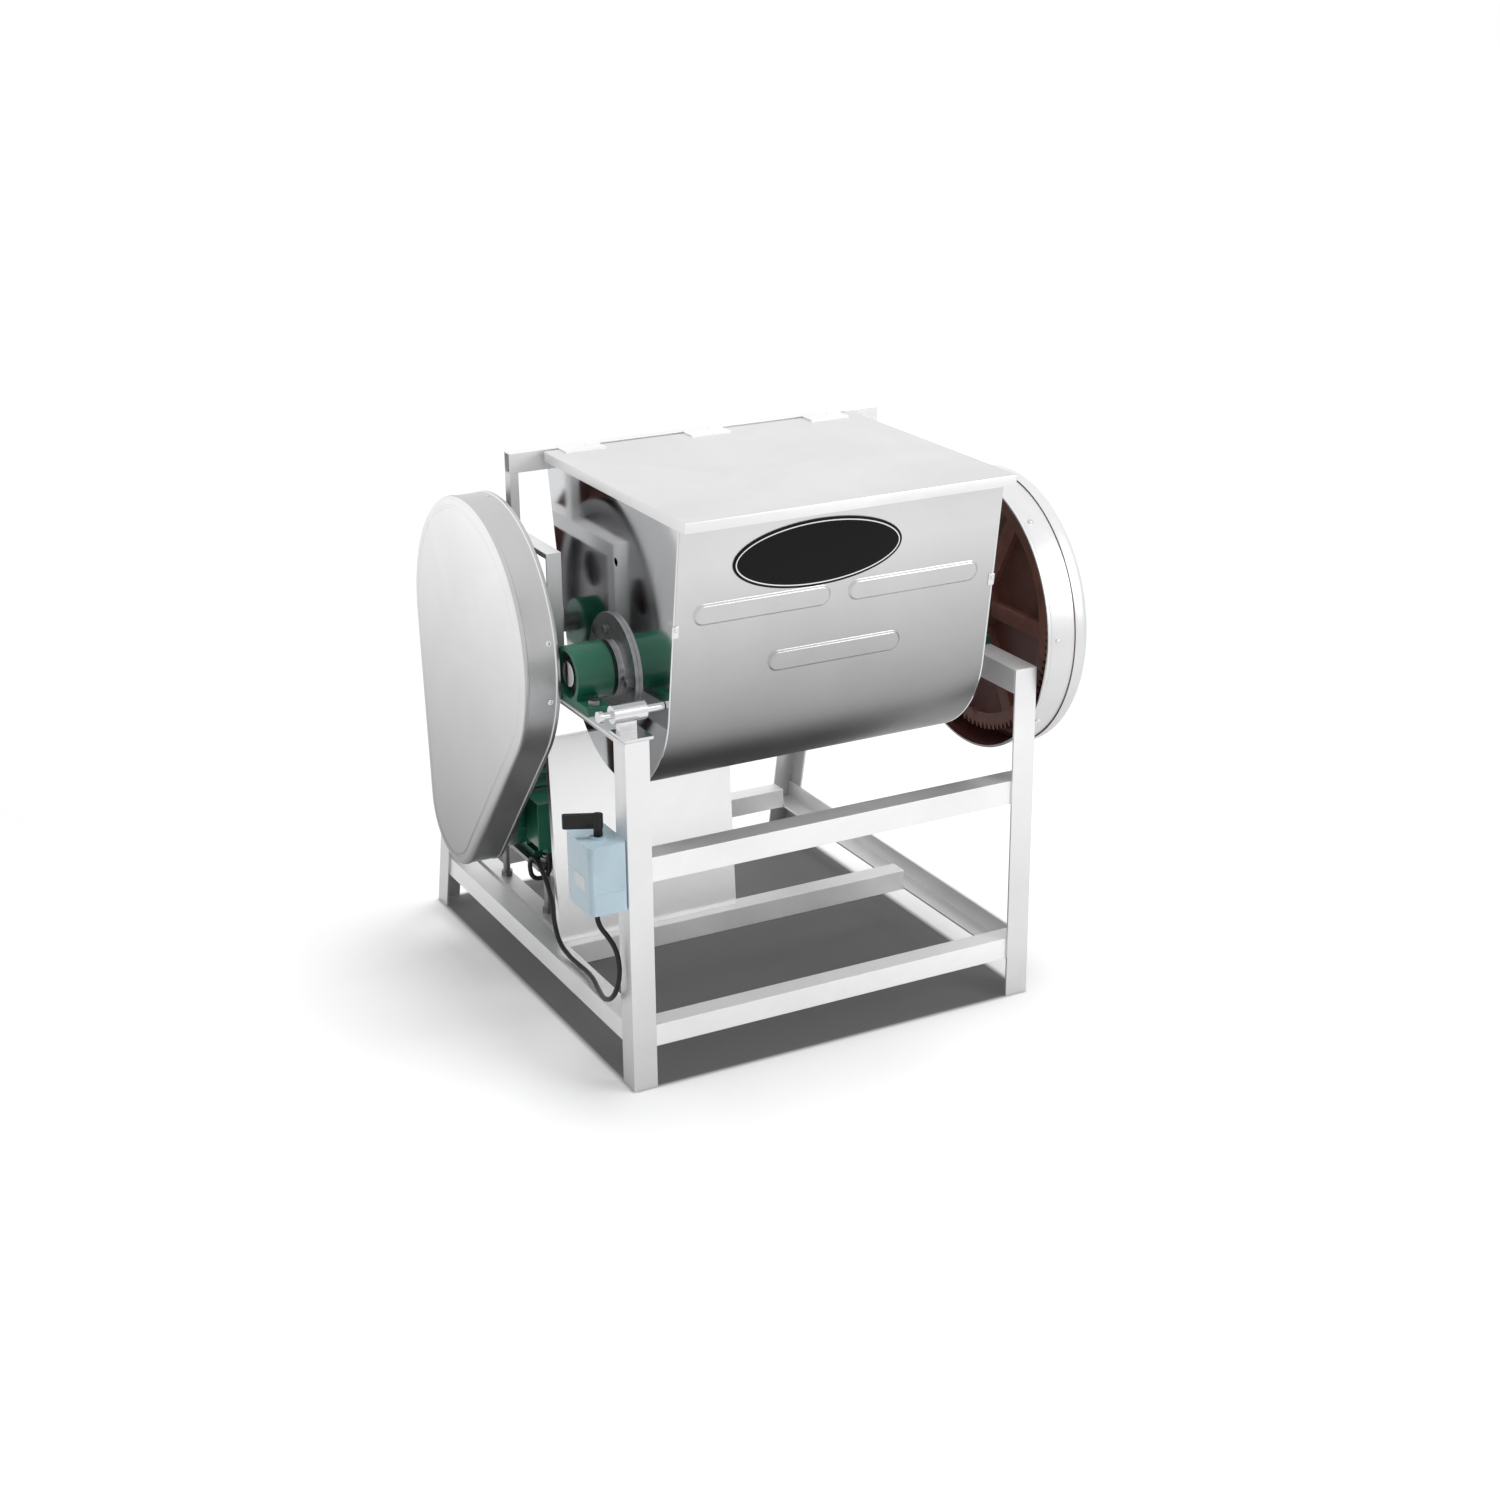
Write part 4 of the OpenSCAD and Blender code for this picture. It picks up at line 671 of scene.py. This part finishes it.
# The bowl: its rims are (y, z), its ends are x, and a rib's place is x and up the front wall
BOWL_RADIUS = 184.0
BOWL_ENDS = (84.0, 636.0)
BOWL_SHEET = 3.0
BOWL_STEPS = 72
RIM_FRONT = (-20.0, 900.0)
RIM_REAR = (445.0, 900.0)
REAR_BAND = 24.0
REAR_BEND = 4
RIB_HEIGHT = 26.0
RIB_LENGTH = 221.0
RIB_PLACES = ((230.28, 159.0), (489.72, 159.0), (360.0, 63.0))
RIB_STEPS = 64
# Height over the wall and distance from the rib's middle line
RIB_PROFILE = (
    (-0.4, 17.2), (0.1, 17.2), (0.5, 16.5), (1.7, 15.5), (2.9, 14.5), (3.5, 13.6), (3.7, 12.4),
    (3.7, 5.0))


def tangent_angle(place, side):
    """The angle round the bowl's axis at which a flat wall from a place meets the round bottom."""
    away = Vector((place[0] - MAIN_AXIS[0], place[1] - MAIN_AXIS[1]))
    return atan2(away.y, away.x) + side * acos(BOWL_RADIUS / away.length)


FRONT_TURN = tangent_angle(RIM_FRONT, 1)


def on_front_wall(across, up):
    """The matrix of a place on the bowl's front wall: X across, Y up the wall, Z outwards."""
    out = Vector((0, cos(FRONT_TURN), sin(FRONT_TURN)))
    upward = Vector((0, sin(FRONT_TURN), -cos(FRONT_TURN)))
    foot = at(across, *MAIN_AXIS) + (out * BOWL_RADIUS + upward * up) * MM
    return standing(Vector((1, 0, 0)), upward, out, foot)


def on_round_bottom(x, turn):
    return at(x, MAIN_AXIS[0] + BOWL_RADIUS * cos(turn), MAIN_AXIS[1] + BOWL_RADIUS * sin(turn))


def make_bowl_sheet():
    """The trough's one sheet: a flat front, a round bottom, a leaning back and an upright band."""
    bm = bmesh.new()
    x0, x1 = BOWL_ENDS[0] + BOWL_SHEET, BOWL_ENDS[1] - BOWL_SHEET
    rear_low = (RIM_REAR[0], RIM_REAR[1] - REAR_BAND)
    rear_turn = tangent_angle(rear_low, -1)
    start = bm.verts.new(on_round_bottom(x0, FRONT_TURN))
    bmesh.ops.spin(bm, geom=[start], cent=at(x0, *MAIN_AXIS), axis=(1, 0, 0),
                   angle=(rear_turn - FRONT_TURN) % (2 * pi), steps=BOWL_STEPS)
    bm.verts.ensure_lookup_table()
    end = min(bm.verts, key=lambda v: (v.co - on_round_bottom(x0, rear_turn)).length)
    band = bm.verts.new(at(x0, *rear_low))
    top = bm.verts.new(at(x0, *RIM_REAR))
    rim = bm.verts.new(at(x0, *RIM_FRONT))
    bm.edges.new((start, rim))
    bm.edges.new((end, band))
    bm.edges.new((band, top))
    bmesh.ops.bevel(bm, geom=[band], offset=REAR_BEND * MM, segments=4, profile=0.5,
                    affect="VERTICES", material=-1)
    drawn = bmesh.ops.extrude_edge_only(bm, edges=bm.edges[:])["geom"]
    bmesh.ops.translate(bm, vec=((x1 - x0) * MM, 0, 0), verts=only(VERT, drawn))
    bmesh.ops.recalc_face_normals(bm, faces=bm.faces)
    lowest = min(bm.faces, key=lambda f: f.calc_center_median().z)
    if lowest.normal.z > 0:
        bmesh.ops.reverse_faces(bm, faces=bm.faces)
    bmesh.ops.solidify(bm, geom=bm.faces[:], thickness=BOWL_SHEET * MM)
    sheet = add_piece("bowl_sheet_folded", bm, "bowl", [finish_of("bowl_wrapper")],
                      smooth=30)
    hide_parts("bowl_wrapper")


def make_ribs():
    """Pressed ribs with round ends, each rising in a soft curve from the wall."""
    flat = (RIB_LENGTH - RIB_HEIGHT) * MM
    for number, (across, up) in enumerate(RIB_PLACES):
        bm = bmesh.new()
        chain = draw_section(bm, [(h * MM, 0, r * MM) for h, r in RIB_PROFILE], [])
        run_round(bm, chain, 1.0, 1.0, flat, RIB_STEPS)
        bmesh.ops.holes_fill(bm, edges=[e for e in bm.edges if e.is_boundary], sides=0)
        bmesh.ops.recalc_face_normals(bm, faces=bm.faces)
        stand = Matrix(((0, 1, 0), (0, 0, 1), (1, 0, 0))).to_4x4()
        bmesh.ops.transform(bm, verts=bm.verts,
                            matrix=on_front_wall(across - flat / MM / 2, up) @ stand)
        add_piece(f"bowl_rib_{number + 1}", bm, "bowl", [finish_of("bowl_wrapper")],
                  smooth=60)


PLATE_WIDTH = 285.0
PLATE_HEIGHT = 108.0
PLATE_THICKNESS = 1.2
PLATE_PLACE = (318.5, 231.0)
# Width, rise and material of each ring from the plate's edge inwards
PLATE_RINGS = ((1.0, 0.5, 0), (3.0, 0.4, 0), (1.8, 0.0, 1), (4.0, 0.3, 0), (4.0, 0.2, 0))


def make_name_plate():
    """A bare oval plate: gloss black with a thin bright ring near its edge."""
    bm = bmesh.new()
    bmesh.ops.create_circle(bm, cap_ends=True, segments=96, radius=PLATE_HEIGHT / 2 * MM)
    bmesh.ops.scale(bm, vec=(PLATE_WIDTH / PLATE_HEIGHT, 1, 1), verts=bm.verts)
    drawn = bmesh.ops.extrude_face_region(bm, geom=bm.faces[:])["geom"]
    bmesh.ops.translate(bm, vec=(0, 0, PLATE_THICKNESS * MM), verts=only(VERT, drawn))
    top = only(FACE, drawn)
    for width, rise, index in PLATE_RINGS:
        ring = bmesh.ops.inset_region(bm, faces=top, thickness=width * MM, depth=rise * MM,
                                      use_boundary=True, use_even_offset=True)["faces"]
        for face in ring:
            face.material_index = index
    bmesh.ops.recalc_face_normals(bm, faces=bm.faces)
    bmesh.ops.transform(bm, verts=bm.verts, matrix=on_front_wall(*PLATE_PLACE))
    enamel = paint("black_enamel", (0.006, 0.006, 0.007), 0.3, peel=0.0, size=20.0, coat=0.0)
    enamel.node_tree.nodes["Principled BSDF"].inputs["Specular IOR Level"].default_value = 0.12
    add_piece("oval_plate", bm, "bowl",
              [enamel, polished_steel("bright_ring", (0.75, 0.75, 0.76), 0.2)])


CLIP_HEIGHT = 138.0
CLIP_INSET = 4
CLIP_SIZE = (11, 19, 1.6)
CLIP_LIFT = 0.6
CLIP_EDGE = 0.7
RIVET_RADIUS = 2.6
RIVET_PLACE = (0, 3, 1.2)
# The round parts of small fittings
ROUND = {"u_segments": 20, "v_segments": 10}


def make_edge_clips():
    """Two small clips, each a block with rounded edges and a rivet, on the front corners of the
    bowl.
    """
    bm = bmesh.new()
    for across in (BOWL_ENDS[0] + CLIP_INSET, BOWL_ENDS[1] - CLIP_INSET):
        place = on_front_wall(across, CLIP_HEIGHT)
        made = bmesh.ops.create_cube(
            bm, size=MM, matrix=place @ Matrix.Translation((0, 0, CLIP_LIFT * MM))
            @ Matrix.Diagonal((*CLIP_SIZE, 1)))
        edges = {e for v in made["verts"] for e in v.link_edges}
        bmesh.ops.bevel(bm, geom=list(edges), offset=CLIP_EDGE * MM, segments=3, profile=0.5,
                        affect="EDGES", material=-1)
        rivet = bmesh.ops.create_uvsphere(bm, radius=RIVET_RADIUS * MM, **ROUND)
        lift = Matrix.Translation(Vector(RIVET_PLACE) * MM)
        bmesh.ops.transform(bm, matrix=place @ lift, verts=rivet["verts"])
    add_piece("bowl_edge_clips", bm, "bowl", [finish_of("latch")])


LABEL_HALF_SIZE = (19, 11)
LABEL_CORNER = 1.5
LABEL_THICKNESS = 0.3
LABEL_PLACE = (38, 354)


def make_box_label():
    """A bare label on the switch box's side."""
    side = stand_box("switch_box")[0].x
    bm = bmesh.new()
    bmesh.ops.create_grid(bm, x_segments=1, y_segments=1, size=MM)
    bmesh.ops.scale(bm, vec=(*LABEL_HALF_SIZE, 1), verts=bm.verts)
    bmesh.ops.bevel(bm, geom=bm.verts[:], offset=LABEL_CORNER * MM, segments=4, profile=0.5,
                    affect="VERTICES", material=-1)
    bmesh.ops.recalc_face_normals(bm, faces=bm.faces)
    bmesh.ops.solidify(bm, geom=bm.faces[:], thickness=LABEL_THICKNESS * MM)
    stand = Matrix(((0, 0, -1), (-1, 0, 0), (0, 1, 0))).to_4x4()
    place = Matrix.Translation(at(side - LABEL_THICKNESS, *LABEL_PLACE))
    bmesh.ops.transform(bm, matrix=place @ stand, verts=bm.verts)
    film = paint("label_film", (0.72, 0.78, 0.82), 0.25, shade=0.95, peel=0.0)
    add_piece("bare_label", bm, "frame", [film])


# Screws through the covers' rims: their sizes, their angles and how far they lie in from the edge
SCREW_RADIUS = 3.2
SCREW_HEAD = 2.2
WASHER_FOOT = 1.5
WASHER_TOP = 1.4
WASHER_DEPTH = 1.2
WASHER_LIFT = 0.3
BELT_SCREW_TURNS = (-168, 168, 12, -40, 90)
BELT_SCREW_INSET = 16
DRUM_SCREW_TURNS = (-142, -92, 178, 128, 84)
DRUM_SCREW_INSET = 20


def add_screw(bm, place, along):
    """A round-headed screw and its washer, standing on a place."""
    turn = Vector((0, 0, 1)).rotation_difference(Vector(along)).to_matrix().to_4x4()
    stand = Matrix.Translation(at(*place)) @ turn
    head = bmesh.ops.create_uvsphere(bm, radius=1, **ROUND)["verts"]
    size = Vector((SCREW_RADIUS, SCREW_RADIUS, SCREW_HEAD)) * MM
    bmesh.ops.scale(bm, vec=size, verts=head)
    bmesh.ops.transform(bm, matrix=stand, verts=head)
    washer = bmesh.ops.create_cone(bm, cap_ends=True, segments=24,
                                   radius1=SCREW_RADIUS * WASHER_FOOT * MM,
                                   radius2=SCREW_RADIUS * WASHER_TOP * MM, depth=WASHER_DEPTH * MM)
    lift = Matrix.Translation((0, 0, WASHER_LIFT * MM))
    bmesh.ops.transform(bm, matrix=stand @ lift, verts=washer["verts"])


def screw_round(bm, x, centre, radius, turns):
    """Screws at some angles of a rim."""
    for turn in turns:
        out = Vector((0, cos(radians(turn)), sin(radians(turn))))
        add_screw(bm, (x, centre[0] + radius * out.y, centre[1] + radius * out.z), out)


def make_cover_screws():
    bm = bmesh.new()
    belt_high = stand_box("belt_cover")[1]
    screw_round(bm, belt_high.x - BELT_SCREW_INSET, COUNTER_AXIS, belt_high.z - COUNTER_AXIS[1],
                BELT_SCREW_TURNS)
    drum_low, drum_high = stand_box("gear_cover_band")
    screw_round(bm, drum_low.x + DRUM_SCREW_INSET, GEAR_COVER_CENTRE,
                drum_high.z - GEAR_COVER_CENTRE[1], DRUM_SCREW_TURNS)
    add_piece("cover_screws", bm, "frame", [finish_of("latch")])


# Stage


def unseen_light(nodes, links):
    """A mask of the rays of the eye, of reflections and of glass, which do more than light the
    scene."""
    rays = nodes.new("ShaderNodeLightPath")
    total = rays.outputs["Is Camera Ray"]
    for label in ("Is Glossy Ray", "Is Transmission Ray"):
        total = combined(nodes, links, "MAXIMUM", total, rays.outputs[label])
    return total


# The floor's distances and heights are in metres, the stand's sizes in millimetres
FLOOR_REACH = 14
NEAR_FLOOR = 1.0
FAR_FLOOR = 3.0
FLOOR_GLOW = 0.25
FLOOR_COLOUR = (0.86, 0.86, 0.86)
STAND_WIDTH = 720.0
STAND_DEPTH = 830.0
# A painted shadow fills the stand's outline on the floor: its soft edge, its glow and its colour
SHADE_EDGE = 0.006
SHADE_GLOW = 0.2
FLOOR_SHADE = (0.11, 0.11, 0.11)


def painted_stand_shadow(nodes, links, coords):
    """A mask of the painted shadow on the floor, which has the stand's outline."""
    split = nodes.new("ShaderNodeSeparateXYZ")
    links.new(coords, split.inputs[0])
    insides = []
    for label, low, high in (("X", at(0, 0, 0).x, at(STAND_WIDTH, 0, 0).x),
                             ("Y", at(0, 0, 0).y, at(0, STAND_DEPTH, 0).y)):
        off = nodes.new("ShaderNodeMath")
        off.operation = "SUBTRACT"
        off.inputs[1].default_value = (low + high) / 2
        span = nodes.new("ShaderNodeMath")
        span.operation = "ABSOLUTE"
        inside = nodes.new("ShaderNodeMapRange")
        inside.inputs["From Min"].default_value = (high - low) / 2 + SHADE_EDGE
        inside.inputs["From Max"].default_value = (high - low) / 2 - SHADE_EDGE
        links.new(split.outputs[label], off.inputs[0])
        links.new(off.outputs[0], span.inputs[0])
        links.new(span.outputs[0], inside.inputs["Value"])
        insides.append(inside.outputs["Result"])
    return combined(nodes, links, "MULTIPLY", *insides)


def make_floor():
    """A white floor that keeps the stand's cast shadow, has a painted shadow in the stand's
    outline, and turns plain white further out.
    """
    bm = bmesh.new()
    bmesh.ops.create_grid(bm, x_segments=1, y_segments=1, size=FLOOR_REACH)
    mesh = bpy.data.meshes.new("floor")
    bm.to_mesh(mesh)
    bm.free()
    floor = bpy.data.objects.new("floor", mesh)
    bpy.context.collection.objects.link(floor)
    material, nodes, links, shader = start_material("white_floor", FLOOR_COLOUR, 0.0, 0.6)
    shader.inputs["Specular IOR Level"].default_value = 0.1
    shader.inputs["Emission Strength"].default_value = 1.0
    coords = nodes.new("ShaderNodeTexCoord").outputs["Object"]
    away = nodes.new("ShaderNodeVectorMath")
    away.operation = "LENGTH"
    links.new(coords, away.inputs[0])
    far = nodes.new("ShaderNodeMapRange")
    far.interpolation_type = "SMOOTHSTEP"
    far.inputs["From Min"].default_value = NEAR_FLOOR
    far.inputs["From Max"].default_value = FAR_FLOOR
    links.new(away.outputs["Value"], far.inputs["Value"])
    farness = far.outputs["Result"]
    seen = unseen_light(nodes, links)
    # The painted shadow darkens the floor's colour and its glow
    shade = painted_stand_shadow(nodes, links, coords)
    plain = nodes.new("ShaderNodeMix")
    plain.data_type = "RGBA"
    plain.inputs["B"].default_value = (0, 0, 0, 1)
    links.new(combined(nodes, links, "MULTIPLY", farness, seen), plain.inputs["Factor"])
    links.new(tinted(nodes, links, shade, FLOOR_COLOUR, FLOOR_SHADE), plain.inputs["A"])
    links.new(plain.outputs["Result"], shader.inputs["Base Color"])
    open_glow = combined(nodes, links, "MULTIPLY", ranged(nodes, links, farness, FLOOR_GLOW, 1.0),
                         ranged(nodes, links, shade, 1.0, SHADE_GLOW))
    links.new(combined(nodes, links, "MULTIPLY", open_glow, seen), shader.inputs["Emission Color"])
    mesh.materials.append(material)


AMBIENT = 0.39


def make_surroundings():
    world = bpy.data.worlds.new("studio")
    bpy.context.scene.world = world
    world.use_nodes = True
    nodes, links = world.node_tree.nodes, world.node_tree.links
    sky = nodes["Background"]
    sky.inputs["Color"].default_value = (1, 1, 1, 1)
    strength = ranged(nodes, links, unseen_light(nodes, links), AMBIENT, 1.0)
    links.new(strength, sky.inputs["Strength"])
    bpy.context.scene.view_settings.view_transform = "Standard"


# Name, place, what it points at, size, power, and whether polished things mirror it. Lit from
# above, the flat sheets would mirror the top lamp and burn out.
LAMPS = (
    ("top_softbox", (0.45, -0.1, 5.0), (0, 0, 0.3), (2.0, 2.0), 150, False),
    ("front_softbox", (2.2, -3.0, 2.2), (0, 0, 0.5), (1.8, 1.8), 46, True),
)


def add_lamp(name, place, target, size, power, mirrored):
    lamp = bpy.data.lights.new(name, "AREA")
    lamp.shape = "RECTANGLE"
    lamp.size, lamp.size_y = size
    lamp.energy = power
    holder = bpy.data.objects.new(name, lamp)
    holder.location = place
    holder.rotation_euler = (Vector(target) - Vector(place)).to_track_quat("-Z", "Y").to_euler()
    holder.visible_glossy = mirrored
    bpy.context.collection.objects.link(holder)


place_camera()
lay_cable()
make_floor()
make_surroundings()
for lamp_values in LAMPS:
    add_lamp(*lamp_values)
for node_name, edge_radius in EDGE_RADII.items():
    soften(node_name, edge_radius)
make_belt_cover()
make_gear_cover()
make_lid()
make_bowl_sheet()
make_ribs()
make_name_plate()
make_edge_clips()
make_box_label()
make_cover_screws()
